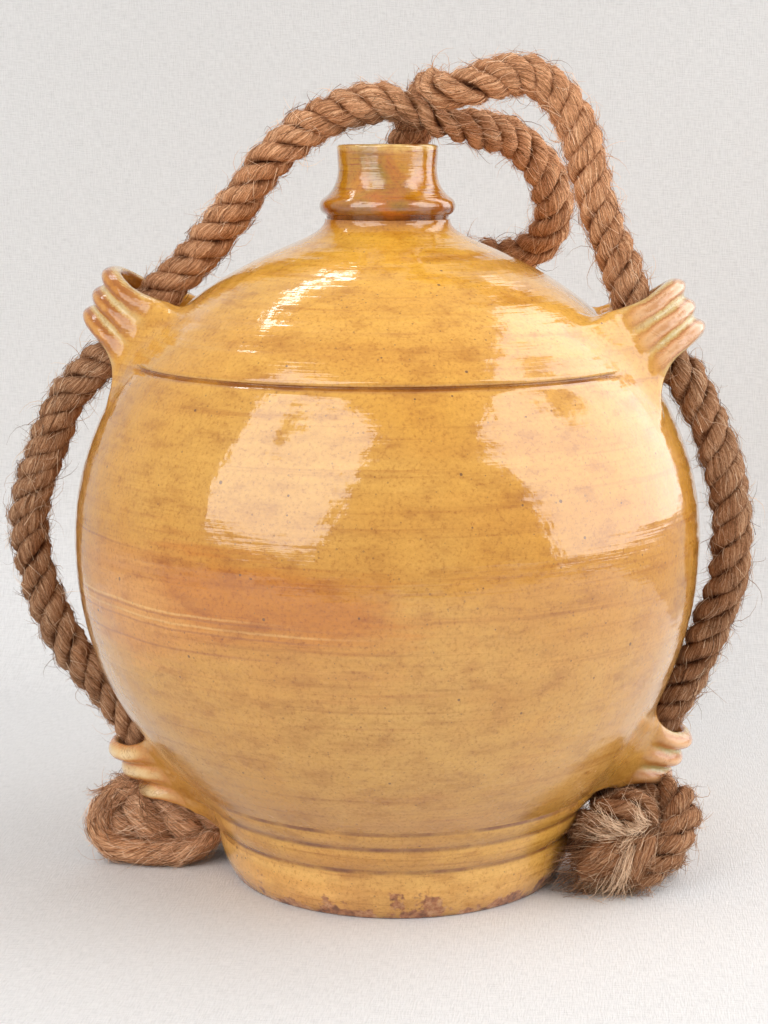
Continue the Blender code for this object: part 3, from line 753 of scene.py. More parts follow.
def bodyOutline():
    # underside, belly, incised line, shoulder, then back down the inside
    under = [(0, vessel["underside"]), (0.03, vessel["underside"])]
    belly, groove, shoulder = bellySide(), [], shoulderSide()
    middle = bellyRadius(vessel["lineHeight"])
    for step in range(1, vessel["grooveSteps"]):
        share = step / vessel["grooveSteps"]
        depth = vessel["lineDepth"] * math.sin(math.pi * share) ** vessel["lineShape"]
        groove.append((middle + 0.0008 * (1 - 2 * share) - depth,
                       vessel["lineHeight"] - vessel["lineBelow"] + vessel["lineWidth"] * share))
    inside = offsetLine(belly[14:] + shoulder[:-12], vessel["wall"])[::-4]
    floorTop = vessel["underside"] + vessel["floor"]
    inside = [(radius, height) for radius, height in inside
              if height > floorTop + 0.002 and radius > vessel["bore"] + 0.002]
    top = [(vessel["bore"] + vessel["boreStep"], vessel["neckHeight"])]
    bottom = [(inside[-1][0] - 0.006, floorTop), (0.03, floorTop), (0, floorTop)]
    return under + belly + groove + shoulder + top + inside + bottom


def neckOutline():
    # bead, throat, collar, rolled rim, then down the bore
    foot = vessel["neckHeight"] - 0.0008
    bead = vessel["neckHeight"] + vessel["beadRise"]
    throat = bead + vessel["throatRise"]
    rim = throat + vessel["collarHeight"]
    flare, bore, thick = vessel["collarFlare"], vessel["bore"], vessel["beadThick"]
    points = [(bore + vessel["boreStep"], foot), (vessel["neckWaist"] - 0.0014, foot)]
    beadMiddle = vessel["beadRadius"] - thick
    for turn in range(-70, 53, 6):
        angle = math.radians(turn)
        points.append((beadMiddle + thick * math.cos(angle), bead + thick * math.sin(angle)))
    start, end = Vector((*points[-1], 0)), Vector((vessel["collarRadius"] - flare, throat, 0))
    points += bentLine(start, Vector((-0.0030, 0.0023, 0)), end, Vector((0, 0.0095, 0)), 26)[1:]
    lip = (vessel["collarRadius"] - bore) / 2
    low = rim - lip * 0.6
    for step in range(1, vessel["collarSteps"]):
        share = step / vessel["collarSteps"]
        points.append((vessel["collarRadius"] - flare + 2 * flare * share,
                       throat + (low - throat) * share))
    for turn in range(0, 181, 15):
        angle = math.radians(turn)
        points.append((bore + lip + (lip + flare) * math.cos(angle), low + lip * 0.6 * math.sin(angle)))
    return points + [(bore, rim - 0.006), (bore, throat), (bore + vessel["boreStep"], foot)]


def footOutline():
    # three turned bands with a groove between each two, and a hollow underneath
    seat = offsetLine(bellyArc(vessel["underside"], vessel["footHeight"], 24), 0.0004)
    base = vessel["baseRadius"]
    topRadius, top = seat[-1]
    heights = (0, *vessel["footBands"], top)
    points = []
    for band, bulge in enumerate(vessel["bandBulges"]):
        low, high = heights[band], heights[band + 1]
        radii = [base + (topRadius - base) * (height / top) ** 1.55 for height in (low, high)]
        start = Vector((radii[0], low + (0.0009 if band else 0.0015)))
        end = Vector((radii[1] - (0.0007 if high < top else 0), high - (0.0002 if high < top else 0)))
        along = end - start
        out = Vector((along.y, -along.x)).normalized()
        for step in range(vessel["bandSteps"] + 1):
            share = step / vessel["bandSteps"]
            spot = start + along * share + out * bulge * 4 * share * (1 - share)
            points.append((spot.x, spot.y))
    inner = points[-1][0] - 1.7 * vessel["footWall"]
    seat = [point for point in seat[:-1] if point[0] > inner]
    boreLow = base - vessel["footWall"]
    outline = [(base - 0.0015, 0), (base - 0.0005, 0.0004), *points, *seat[::-1]]
    outline += [(boreLow + 0.002, 0.012), (boreLow, 0.0015), (boreLow + 0.0015, 0)]
    return outline + outline[:1]


# Glazes. What differs from one to the next is in its look, the rest is in glazeGrain.

glazeGrain = {
    "cloud": 9.0, "warm": 14.0, "brushed": (16.0, 16.0, 150.0), "bands": (7.0, 7.0, 85.0), "patchy": 48.0,
    "worn": 62.0, "bareClay": 210.0, "specks": 190.0, "pinholes": 470.0, "fine": 620.0,
    "mottle": (52.0, 52.0, 125.0), "lug": 80.0, "veins": 60.0, "waves": 26.0, "dimples": 260.0,
    "peel": 105.0, "rough": 40.0, "speckDepth": 0.00004,
    "darkLines": (0.75, (0.42, 0.15, 0.03)), "paleLines": (0.45, (0.82, 0.52, 0.18)),
    "speckColour": (0.16, 0.07, 0.02), "pinholeColour": (0.26, 0.12, 0.03),
    "veinColour": (0.40, 0.16, 0.04),
    "ringShades": ((0.30, (0.74, 0.60, 0.42)), (0.44, 1.0), (0.62, 1.0), (0.78, (1.06, 1.05, 1.02))),
    "bandShades": ((0.30, (0.88, 0.78, 0.62)), (0.50, 1.0), (0.75, (1.05, 1.06, 1.10))),
    "clayColours": ((0.36, (0.20, 0.065, 0.02)), (0.50, (0.44, 0.17, 0.06)), (0.64, (0.62, 0.34, 0.16))),
    "fineShades": ((0.30, (0.72, 0.60, 0.42)), (0.46, (0.95, 0.93, 0.90)), (0.60, 1.0),
                   (0.72, (1.06, 1.07, 1.10))),
    "mottleShades": ((0.32, (0.80, 0.71, 0.55)), (0.48, 1.0), (0.60, (1.04, 1.05, 1.06)),
                     (0.72, (1.10, 1.13, 1.30))),
}


def stretched(where, scale, *settings):
    return noiseOf(vectors("MULTIPLY", where, scale), 1.0, *settings)


def speckled(where, scale, channel, start, size):
    # a dot in some of the cells, of many sizes
    cells = addNode("ShaderNodeTexVoronoi", where, feature="F1", into={"Scale": scale, "Randomness": 1.0})
    picks = addNode("ShaderNodeSeparateColor", Flow(cells.outputs["Color"])).outputs
    return maths("LESS_THAN", Flow(cells.outputs["Distance"]),
                 remap(Flow(picks[channel]), start, 1.0, 0.0, size))


def glazeMaterial(name, look):
    material, tree, shader = newMaterial(name, look["roughness"], look["swatch"])
    where = objectPlace(tree)
    x, _, height = splitXYZ(where)
    grain = glazeGrain

    # colour by height, as the fire and the dipping left it, though the dark stops just under the neck's
    # bead are painted shade; the foot is also darker just above its grooves
    base = ramp(remap(height, 0.0, 0.40), look["heights"])
    cloud = noiseOf(where, grain["cloud"] * look["patchScale"], 3, 0.55, 0.4)
    base = blendColour(remap(cloud, 0.38, 0.68, 0, look["cloud"]), base, look["cloudColour"])
    elsewhere = vectors("ADD", where, (3.1, 1.7, 0.4))
    warm = noiseOf(elsewhere, grain["warm"] * look["patchScale"], 4, 0.6, 0.8)
    base = blendColour(remap(warm, 0.50, 0.72, 0, look["warm"]), base, look["warmColour"])

    # broad blushes on the left of the belly, drawn out sideways
    brushed = stretched(where, grain["brushed"], 3, 0.6)
    for place, turn, size, amount, colour in look["blushes"]:
        tilted = flow("ShaderNodeMapping", where, place, turn, size, vector_type="TEXTURE")
        ragged = vectors("LENGTH", tilted) + (warm - 0.5) * 0.9 + (brushed - 0.5)
        base = blendColour(remap(ragged, 0.45, 1.0, amount, 0.0, "SMOOTHSTEP"), base, colour)

    # throwing lines: fine rings and broader bands, a little tilted, with darker streaks
    leaning, coarse = (flow("ShaderNodeMapping", where, (0, 0, 0), look["ringTilt"], scale)
                       for scale in (look["ringScale"], grain["bands"]))
    rings = noiseOf(leaning, 1.0, 3, 0.65, 0.15)
    bands = noiseOf(coarse, 1.0, 2, 0.5, 0.2)
    base = tinted(base, ramp(rings, grain["ringShades"]), look["rings"])
    streakPlace = remap(noiseOf(where, look["streakScale"], 3, 0.6), 0.50, 0.64)
    streaks = remap(rings, 0.52, 0.62) * streakPlace * look["streaks"]
    base = blendColour(streaks, base, look["streakColour"])
    base = tinted(base, ramp(bands, grain["bandShades"]), look["bands"])

    # turning marks on the left of the belly
    waver = (cloud - 0.5) * 0.006
    for marks in ("darkLines", "paleLines"):
        strength, shade = grain[marks]
        for level, upTo in look[marks]:
            off = maths("ABSOLUTE", height + waver - level)
            ended = remap(x, upTo - 0.03, upTo + 0.02, 1.0, 0.0)
            base = blendColour(remap(off, 0.0002, 0.0008, strength, 0.0) * ended, base, shade)

    # grooves, darker where no lug lies over them
    patchy = remap(noiseOf(where, grain["patchy"], 2, 0.6), 0.36, 0.62, 0.25, 0.95)
    patchy = patchy * (1.0 - attributeOf(tree, "overLine"))
    for level in look["grooves"]:
        off = maths("ABSOLUTE", height - level)
        base = blendColour(remap(off, 0.0006, 0.0017, 1.0, 0.0) * patchy, base, look["grooveColour"])

    # bare clay at the foot's worn edge
    wear = (noiseOf(where, grain["worn"], 4, 0.65) - 0.5) * 5.0
    wear = wear + remap(height, 0.0, 0.022, look["wear"], -1.4)
    bareClay = ramp(noiseOf(where, grain["bareClay"], 3, 0.6), grain["clayColours"])
    base = blendColour(remap(wear, 0.0, 0.25), base, bareClay)

    # iron specks and pinholes, fine grain and mottling
    specks = speckled(where, grain["specks"], 0, 0.86, 0.16)
    base = blendColour(specks * look["specks"], base, grain["speckColour"])
    pinholes = speckled(where, grain["pinholes"], 1, 0.80, 0.26)
    base = blendColour(pinholes * (look["specks"] * 0.7), base, grain["pinholeColour"])
    base = tinted(base, ramp(noiseOf(where, grain["fine"], 3, 0.7), grain["fineShades"]))
    mottle = stretched(where, grain["mottle"], 4, 0.68)
    base = tinted(base, ramp(mottle, grain["mottleShades"]), look["mottle"])

    # ribs of the lugs: one colour on the crests and another in the valleys, with thin dark veins
    crest = attributeOf(tree, "crest") + (noiseOf(where, grain["lug"], 4, 0.7) - 0.5) * 0.9
    onLug = attributeOf(tree, "onLug") * look["lug"]
    base = blendColour(onLug, base, ramp(crest, look["lugColours"]))
    vein = maths("ABSOLUTE", noiseOf(where, grain["veins"], 4, 0.72, 0.5) - 0.5)
    base = blendColour(remap(vein, 0.0, 0.016, 0.65, 0.0) * onLug, base, grain["veinColour"])

    # soft waves in the glaze, the rings, deeper above the incised line, then dimples and orange peel
    fromLine = [vessel["lineHeight"] + rise for rise in (0.002, 0.012)]
    deeper = remap(height, *fromLine, 1.0, look["shoulderRings"]) * look["ringDepth"]
    tall = noiseOf(where, grain["waves"]) * look["waves"] + (bands + rings * 0.30) * deeper
    for relief in ("dimples", "peel"):
        tall = tall + noiseOf(where, grain[relief]) * look[relief]
    bump = bumpOf(tall - specks * grain["speckDepth"], 1.0, 1.0)
    plugAll(shader, {
        "Base Color": base, "Normal": bump, "Coat Normal": bump, "Specular IOR Level": 0.12,
        "Roughness": remap(noiseOf(where, grain["rough"], 3, 0.6), 0.3, 0.7,
                           look["roughness"] * 0.7, look["roughness"] * 1.4),
        "Coat Weight": 1.0, "Coat IOR": look["coat"],
        "Coat Roughness": remap(height, 0.075, 0.135, 0.22, look["coatRoughness"])})
    return material


honeyLook = {
    "swatch": (0.66, 0.38, 0.10), "roughness": 0.24,
    # heights: the stops past 0.797 darken the shoulder into the neck, painted shade under the bead
    "heights": ((0.0, (0.52, 0.25, 0.045)), (0.13, (0.55, 0.26, 0.048)), (0.20, (0.58, 0.29, 0.056)),
                (0.33, (0.58, 0.285, 0.050)), (0.44, (0.59, 0.265, 0.030)), (0.62, (0.67, 0.315, 0.034)),
                (0.70, (0.79, 0.40, 0.060)), (0.797, (0.84, 0.43, 0.045)), (0.808, (0.62, 0.26, 0.018)),
                (0.8165, (0.36, 0.11, 0.006))),
    "cloud": 0.45, "cloudColour": (0.67, 0.38, 0.085), "warm": 0.40, "warmColour": (0.60, 0.25, 0.030),
    "patchScale": 1.0, "mottle": 1.0, "specks": 0.85, "wear": -2.0,
    # each blush: (place, turn, size, strength, colour)
    "blushes": (
        ((-0.100, -0.118, 0.160), (0, 0.10, 0.7), (0.105, 0.080, 0.036), 0.75, (0.66, 0.28, 0.050)),
        ((-0.036, -0.148, 0.166), (0, 0.10, 0.24), (0.082, 0.080, 0.026), 0.92, (0.53, 0.180, 0.010))),
    "rings": 0.60, "ringTilt": (0.03, 0.035, 0), "ringScale": (7.0, 7.0, 330.0), "ringDepth": 0.00040,
    "shoulderRings": 3.0, "bands": 0.50,
    "streaks": 0.42, "streakScale": 13.0, "streakColour": (0.46, 0.17, 0.025),
    # each turning mark: (height, the x where it ends)
    "darkLines": ((0.1838, -0.095), (0.1560, -0.010), (0.1498, 0.000), (0.1405, -0.030)),
    "paleLines": ((0.1528, 0.000), (0.1575, -0.040)),
    "grooves": (vessel["lineHeight"] - 0.0004,), "grooveColour": (0.34, 0.115, 0.022),
    "waves": 0.0009, "dimples": 0.00008, "peel": 0.00018, "coat": 1.74, "coatRoughness": 0.055,
    "lug": 0.92, "lugColours": (
        (0.08, (0.68, 0.52, 0.26)), (0.26, (0.62, 0.36, 0.10)), (0.42, (0.42, 0.130, 0.014)),
        (0.70, (0.34, 0.095, 0.009)), (0.92, (0.52, 0.190, 0.025)), (1.0, (0.60, 0.27, 0.060))),
}
unmarkedLook = dict(honeyLook, blushes=(), darkLines=(), paleLines=(), lug=0.0, rings=1.0)
amberLook = dict(
    unmarkedLook, swatch=(0.50, 0.24, 0.04), roughness=0.2,
    # the dark stops up to 0.829 are painted shade on the underside of the bead and below it
    heights=((0.812, (0.24, 0.060, 0.004)), (0.829, (0.26, 0.070, 0.003)), (0.841, (0.56, 0.22, 0.012)),
             (0.86, (0.64, 0.28, 0.014)), (0.895, (0.58, 0.25, 0.012)), (0.903, (0.80, 0.52, 0.16))),
    cloud=0.90, cloudColour=(0.27, 0.145, 0.003), warm=0.90, warmColour=(0.50, 0.13, 0.008),
    patchScale=3.4, grooves=(), shoulderRings=1.0, ringScale=(22.0, 22.0, 620.0), ringDepth=0.0010,
    streaks=0.95, streakScale=45.0, streakColour=(0.34, 0.085, 0.006), peel=0.00034, coat=1.95)
footLook = dict(
    unmarkedLook, swatch=(0.56, 0.30, 0.10), roughness=0.26,
    heights=((0.0, (0.28, 0.11, 0.025)), (0.009, (0.74, 0.36, 0.085)), (0.03, (0.95, 0.52, 0.150)),
             (0.055, (0.86, 0.47, 0.120)), (0.066, (0.62, 0.29, 0.055)), (0.09, (0.78, 0.41, 0.088)),
             (0.099, (0.58, 0.27, 0.050)), (0.125, (0.70, 0.37, 0.080))),
    cloud=0.4, cloudColour=(0.60, 0.36, 0.06), warm=0.6, warmColour=(0.44, 0.17, 0.026), wear=0.60,
    bands=0.8, grooves=(0.0256, 0.0390, 0.0488), grooveColour=(0.24, 0.085, 0.028))
honeyGlaze = glazeMaterial("honey glaze", honeyLook)
amberGlaze = glazeMaterial("amber glaze", amberLook)
footGlaze = glazeMaterial("foot glaze", footLook)
print("glazes are mixed")


def turnedTree():
    # spins the outline round Z and gives it the unevenness of throwing
    tree, given, finish = newTree("turned on the wheel", {"Segments": 1, "Points": 1, "Wobble": 0.0,
                                                          "Material": honeyGlaze})
    here = flow("GeometryNodeInputPosition", tree=tree)
    form = flow("GeometryNodeMeshGrid", 1.0, 1.0, given["Segments"] + 1, given["Points"])
    across, up, _ = splitXYZ(here)
    number = maths("ROUND", (up + 0.5) * (given["Points"] - 1))
    sample = flow("GeometryNodeSampleIndex", given["Geometry"], here, number,
                  data_type="FLOAT_VECTOR", domain="POINT")
    radius, _, height = splitXYZ(sample)
    angle = (across + 0.5) * math.tau
    turned = joinXYZ(*(radius * maths(wave, angle) for wave in ("COSINE", "SINE")), height)
    form = flow("GeometryNodeSetPosition", form, True, turned)
    form = flow("GeometryNodeMergeByDistance", form, True, 0.00001)
    uneven = stretched(here, (14.0, 14.0, 60.0), 1)
    shift = vectors("SCALE", flow("GeometryNodeInputNormal", tree=tree), (uneven - 0.5) * given["Wobble"])
    return finish(flow("GeometryNodeSetPosition", form, True, None, shift))


wheel = turnedTree()


def smoothStep(low, high, value):
    share = np.clip((value - low) / (high - low), 0, 1)
    return share * share * (3 - 2 * share)


def shiftFoot(mesh):
    # the foot stands a little to one side of the belly
    spots = spotsOf(mesh)
    spots[:, 0] += vessel["footShift"] * (1 - smoothStep(*vessel["shiftedBelow"], spots[:, 2]))
    mesh.vertices.foreach_set("co", spots.ravel())
    mesh.update()


def turnPiece(name, outline, material, part):
    start = wireMesh(name, [(radius, 0, height) for radius, height in outline])
    piece = growPiece(name, wheel, start, {
        "Segments": vessel["segments"][part], "Points": len(outline), "Wobble": vessel["wobble"],
        "Material": material})
    shiftFoot(piece.data)
    return piece


bodyPiece = turnPiece("glazedBody", bodyOutline(), honeyGlaze, "body")
neckPiece = turnPiece("neckCollar", neckOutline(), amberGlaze, "neck")
footPiece = turnPiece("footRing", footOutline(), footGlaze, "foot")
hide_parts("bowl", "shoulder")
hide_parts("neck")
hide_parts("foot_ring")
for piece, slot in ((bodyPiece, "honey_glaze"), (neckPiece, "amber_glaze"), (footPiece, "foot_glaze")):
    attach(piece, "root")
print("the vessel is turned")


# Strap lugs. Each is worked out as a distance field on a fine grid: a ribbed strap bent over the
# rope's channel, smoothly joined to the body, as clay is smeared on with a thumb.

upperLug = {"lean": 27, "droop": 0.15, "strap": 0.0056, "pitch": 0.0122, "halfSpan": 0.0280,
            "blend": 0.013, "web": 0.006, "tonePhase": 0.0}
lowerLug = {"strap": 0.0040, "halfSpan": 0.0250, "blend": 0.011, "web": 0.0}
lugs = {
    "lug_upper_right": dict(upperLug, side=0, seat=0.2695, reach=0.0385),
    "lug_upper_left": dict(upperLug, side=180, seat=0.2730, reach=0.0390),
    "lug_lower_right": dict(lowerLug, side=5.5, seat=0.0692, lean=-31, reach=0.0276, droop=0.17,
                            pitch=0.0118, tonePhase=0.0),
    "lug_lower_left": dict(lowerLug, side=180, seat=0.0608, lean=-32.6, reach=0.0306, droop=0.53,
                           pitch=0.0126, tonePhase=0.14),
}
lugColours = {
    "lug_upper_left": honeyLook["lugColours"],
    "lug_upper_right": (
        (0.08, (0.66, 0.53, 0.26)), (0.26, (0.58, 0.34, 0.11)), (0.42, (0.42, 0.15, 0.045)),
        (0.62, (0.68, 0.33, 0.15)), (0.80, (0.74, 0.45, 0.26)), (1.0, (0.56, 0.27, 0.12))),
    "lug_lower_left": (
        (0.02, (0.50, 0.15, 0.030)), (0.26, (0.60, 0.27, 0.060)), (0.45, (0.66, 0.24, 0.070)),
        (0.72, (0.76, 0.46, 0.18)), (1.0, (0.84, 0.62, 0.33))),
    "lug_lower_right": (
        (0.05, (0.58, 0.47, 0.20)), (0.26, (0.58, 0.30, 0.09)), (0.50, (0.52, 0.19, 0.060)),
        (0.75, (0.66, 0.32, 0.130)), (1.0, (0.74, 0.42, 0.20))),
}
lugShape = {"cell": 0.0008, "ridge": 0.0034, "ridgePower": 0.62, "ridgeFade": 0.92, "tonePower": 0.85,
            "crown": 0.90, "flare": 1.20, "rootThickness": 2.0, "rootPower": 1.5, "ribs": 3,
            "ribShare": 0.985, "waver": 0.0005, "waverTurns": 95, "topBlend": 0.004, "edgeBlend": 0.0055,
            "innerBlend": 0.005, "lineClear": (0.003, 0.012), "skin": 0.00016, "depth": 0.004,
            "margin": 0.015, "ground": 0.003}
archLine = ((0, 1), (0.28, 0.97), (0.54, 0.86), (0.75, 0.66), (0.88, 0.42), (0.98, 0.18),
            (1.10, -0.05), (1.26, -0.28), (1.46, -0.54), (1.66, -0.84))

# the body's outside without its incised line, which fades out under the clay of the lugs
footSide = footOutline()[1:47]
profileRadii, profileHeights = np.array(footSide + bellySide() + shoulderSide()).T
keep = profileHeights >= np.maximum.accumulate(profileHeights) - 1e-9
keep &= ~((np.arange(len(keep)) >= len(footSide)) & (profileHeights < vessel["footHeight"]))
profileHeights, profileRadii = profileHeights[keep], profileRadii[keep]
profileSlopes = np.gradient(profileRadii, profileHeights + np.arange(len(profileHeights)) * 1e-9)


def smoothMin(first, second, width):
    nearness = np.maximum(width - np.abs(first - second), 0) / width
    return np.minimum(first, second) - nearness ** 3 * width / 6


def smoothMax(first, second, width):
    return -smoothMin(-first, -second, width)


def netSurface(name, field, origin, cell):
    # one point in each cell that the surface passes, one face round each edge that it crosses
    sizes = np.array(field.shape) - 1
    total = np.zeros((*sizes, 3), dtype=np.float32)
    count = np.zeros(sizes, dtype=np.int8)
    corner = {bits: field[tuple(slice(bit, bit + size) for bit, size in zip(bits, sizes))]
              for bits in np.ndindex(2, 2, 2)}
    for bits in np.ndindex(2, 2, 2):
        for axis in range(3):
            if bits[axis]:
                continue
            other = list(bits)
            other[axis] = 1
            first, second = corner[bits], corner[tuple(other)]
            crossed = (first < 0) != (second < 0)
            share = first[crossed] / (first[crossed] - second[crossed])
            spot = np.tile(np.array(bits, dtype=np.float32), (len(share), 1))
            spot[:, axis] += share
            total[crossed] += spot
            count[crossed] += 1
    active = count > 0
    numbers = np.full(sizes, -1, dtype=np.int64)
    numbers[active] = np.arange(active.sum())
    cells = np.argwhere(active)
    points = (cells + total[active] / count[active][:, None]) * cell + np.array(origin)
    faces = []
    for axis in range(3):
        low, high = [slice(1, -1)] * 3, [slice(1, -1)] * 3
        low[axis], high[axis] = slice(0, -1), slice(1, None)
        first, second = field[tuple(low)], field[tuple(high)]
        spots = np.argwhere((first < 0) != (second < 0))
        rising = first[tuple(spots.T)] < 0
        quad = np.stack([numbers[tuple((spots + np.insert(step, axis, 0)).T)]
                         for step in ((0, 0), (1, 0), (1, 1), (0, 1))], 1)
        flip = rising if axis != 1 else ~rising
        quad[~flip] = quad[~flip][:, ::-1]
        faces.append(quad)
    mesh = bpy.data.meshes.new(name)
    mesh.from_pydata(points.tolist(), [], np.concatenate(faces).tolist())
    return mesh, cells


def nearestOnLine(line, gridX, gridO):
    # for each point of one slice: how far outside the strap's middle line it is, and how high there
    best = np.full(gridX.shape, 1e9)
    lift, level = np.zeros_like(best), np.zeros_like(best)
    for start, end in zip(line, line[1:]):
        run = end - start
        share = ((gridX - start[0]) * run[0] + (gridO - start[1]) * run[1]) / run.dot(run)
        share = np.clip(share, 0, 1)
        offX, offO = gridX - start[0] - share * run[0], gridO - start[1] - share * run[1]
        far = np.hypot(offX, offO)
        closer = far < best
        normal = np.array((-run[1], run[0])) / np.hypot(*run)
        best[closer] = far[closer]
        lift[closer] = (far * np.sign(offX * normal[0] + offO * normal[1]))[closer]
        level[closer] = (start[1] + share * run[1])[closer]
    return lift, level


def makeLug(name, material, side, seat, lean, reach, droop, strap, pitch, halfSpan, blend, web,
            tonePhase):
    cell = lugShape["cell"]
    rise = reach - lugShape["ridge"] - strap / 2
    spread, deep = archLine[-1][0], -archLine[-1][1]
    half = smoothRoute([(share * halfSpan, height * rise, 0) for share, height in archLine], 6)
    line = [(-point.x, point.y) for point in half[:0:-1]] + [(point.x, point.y) for point in half]
    across = np.arange(-halfSpan * spread - 0.018, halfSpan * spread + 0.018, cell)
    outward = np.arange(-rise * deep - 0.022, reach + 0.006, cell)
    halfWide = lugShape["ribs"] / 2 * pitch
    width = halfWide * lugShape["flare"]
    below = droop * rise * (1 + deep)
    along = np.arange(-width - below - web - 0.019, width + 0.019, cell)
    gridX, gridO = np.meshgrid(across, outward, indexing="ij")
    lift, level = nearestOnLine(np.array(line), gridX, gridO)

    # the strap, ribbed on top, thicker and wider towards its roots
    root = np.clip(1 - level / rise * 1.6, 0, 1) ** lugShape["rootPower"]
    widen = (lugShape["crown"] + (lugShape["flare"] - lugShape["crown"]) * root)[..., None]
    thick = (strap * (1 + (lugShape["rootThickness"] - 1) * root) / 2)[..., None]
    ridge = (lugShape["ridge"] * (1 - lugShape["ridgeFade"] * np.clip(root * 1.25, 0, 1)))[..., None]
    waver = lugShape["waver"] * np.sin(gridX * lugShape["waverTurns"] + side)
    sink = (droop * (rise - level) + waver)[..., None]
    fade = root[..., None]
    lift = lift[..., None]
    place = (along[None, None, :] + sink) / widen
    wave = 0.5 + 0.5 * np.cos(math.tau * place / pitch)
    crest = np.where(np.abs(place) < halfWide, wave ** lugShape["ridgePower"], 0)
    wave = 0.5 + 0.5 * np.cos(math.tau * (place / pitch - tonePhase))
    tone = np.where(np.abs(place - tonePhase * pitch) < halfWide, wave ** lugShape["tonePower"], 0)
    top = (lift - thick - ridge * crest) * 0.86
    bottom = -lift - thick
    # a web of clay runs down from the lowest rib
    highest = halfWide * lugShape["ribShare"]
    edge = np.maximum(place - highest, -place - (highest + web * fade)) * widen
    strapField = smoothMax(smoothMax(top, bottom, lugShape["topBlend"]), edge, lugShape["edgeBlend"])

    # distance from the body, in the same grid
    leaning = math.radians(lean)
    turn = Matrix.Rotation(math.radians(side), 3, "Z")
    base = turn @ Vector((float(np.interp(seat, profileHeights, profileRadii)), 0, seat))
    axes = [turn @ Vector(axis) for axis in ((0, 1, 0), (math.cos(leaning), 0, math.sin(leaning)),
                                             (-math.sin(leaning), 0, math.cos(leaning)))]
    x, o, a = np.meshgrid(across, outward, along, indexing="ij")
    spot = [base[k] + x * axes[0][k] + o * axes[1][k] + a * axes[2][k] for k in range(3)]
    radius = np.hypot(spot[0], spot[1])
    slope = np.interp(spot[2], profileHeights, np.clip(profileSlopes, -4, 4))
    bodyField = radius - np.interp(spot[2], profileHeights, profileRadii)
    bodyField = bodyField / np.sqrt(1 + slope * slope)
    clear = smoothStep(*lugShape["lineClear"], strapField)
    share = (spot[2] - vessel["lineHeight"] + vessel["lineBelow"]) / vessel["lineWidth"]
    share = np.clip(share, 0, 1)
    bodyField += clear * vessel["lineDepth"] * np.sin(math.pi * share) ** vessel["lineShape"]

    # both joined, tighter inside the channel, and cut off a little way round the strap
    inner = smoothStep(-1.5, 1.5, (lift + thick) / 0.002)
    join = lugShape["innerBlend"] + (blend - lugShape["innerBlend"]) * inner
    skin = lugShape["skin"] - 2.2 * lugShape["skin"] * clear
    field = smoothMin(strapField, bodyField - skin, join)
    for cut in (-bodyField - lugShape["depth"], strapField - lugShape["margin"],
                -spot[2] + lugShape["ground"]):
        field = np.maximum(field, cut)
    for edgeSlice in (0, -1):
        field[edgeSlice], field[:, edgeSlice], field[:, :, edgeSlice] = 0.001, 0.001, 0.001

    mesh, cells = netSurface(name, field.astype(np.float32), (across[0], outward[0], along[0]), cell)
    onLug = smoothStep(0.0015, 0.012, bodyField) * smoothStep(0.007, 0.001, strapField)
    values = {"crest": tone * (1 - fade) + 0.30 * fade, "onLug": onLug * (1 - 0.8 * fade),
              "overLine": 1 - clear}
    setValues(mesh, {label: numbers[tuple(cells.T)].astype(np.float32)
                     for label, numbers in values.items()})
    place = Matrix((axes[0], axes[1], axes[2])).transposed().to_4x4()
    place.translation = base
    mesh.transform(place)
    shiftFoot(mesh)
    mesh.shade_smooth()
    faceOutwards(mesh)
    mesh.materials.append(material)
    print(f"{name}: {len(mesh.polygons)} faces")
    return addPiece(name, mesh)


for lugName, shape in lugs.items():
    words = lugName.split("_")
    lugGlaze = glazeMaterial("lug glaze, " + words[1] + " " + words[2], dict(
        honeyLook, lugColours=lugColours[lugName], coat=1.62, coatRoughness=0.13, peel=0.00050,
        dimples=0.00014))
    lug = makeLug("strap" + words[1].title() + words[2].title(), lugGlaze, **shape)
    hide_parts(lugName)
    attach(lug, "root")
print("lugs are luted on")


# Linen ground and wall, and the studio light

ground = {"front": -1.3, "back": 0.42, "bend": 0.14, "top": 0.62, "halfWidth": 1.6, "wallLeft": -0.52,
          "wallRight": 0.38, "colour": (0.765, 0.765, 0.77), "wall": (0.755, 0.75, 0.745),
          "wallTopShade": (0.675, 0.67, 0.665), "threads": (1300.0, 150.0), "patch": 2.2, "bendSteps": 12}


def linenMaterial():
    material, tree, shader = newMaterial("linen", 0.95, ground["colour"])
    where = objectPlace(tree)
    fine, long = ground["threads"]
    weave = stretched(where, (fine, long, long)) * 0.5 + stretched(where, (long, fine, fine)) * 0.5
    colour = ramp(weave, ((0.35, 0.88), (0.52, 0.98), (0.68, 1.04)))
    # darker up the wall and darker still at its top: painted shade on the same linen
    colour = tinted(colour, ramp(splitXYZ(where)[2], (
        (0.0, ground["colour"]), (0.05, ground["colour"]), (0.16, ground["wall"]),
        (0.6, ground["wallTopShade"]))))
    patches = ramp(noiseOf(where, ground["patch"], 3), ((0.3, (0.95, 0.94, 0.93)), (0.7, 1.0)))
    plugAll(shader, {"Base Color": tinted(colour, patches, 0.6), "Normal": bumpOf(weave, 0.8, 0.0008),
                     "Specular IOR Level": 0.1})
    # seen from behind, the wall doesn't hide the jug
    clear = flow("ShaderNodeBsdfTransparent", tree=tree)
    back = flow("ShaderNodeNewGeometry", tree=tree, out="Backfacing")
    sided = flow("ShaderNodeMixShader", back, Flow(shader.outputs[0]), clear)
    plug(tree.nodes["Material Output"].inputs["Surface"], sided)
    return material


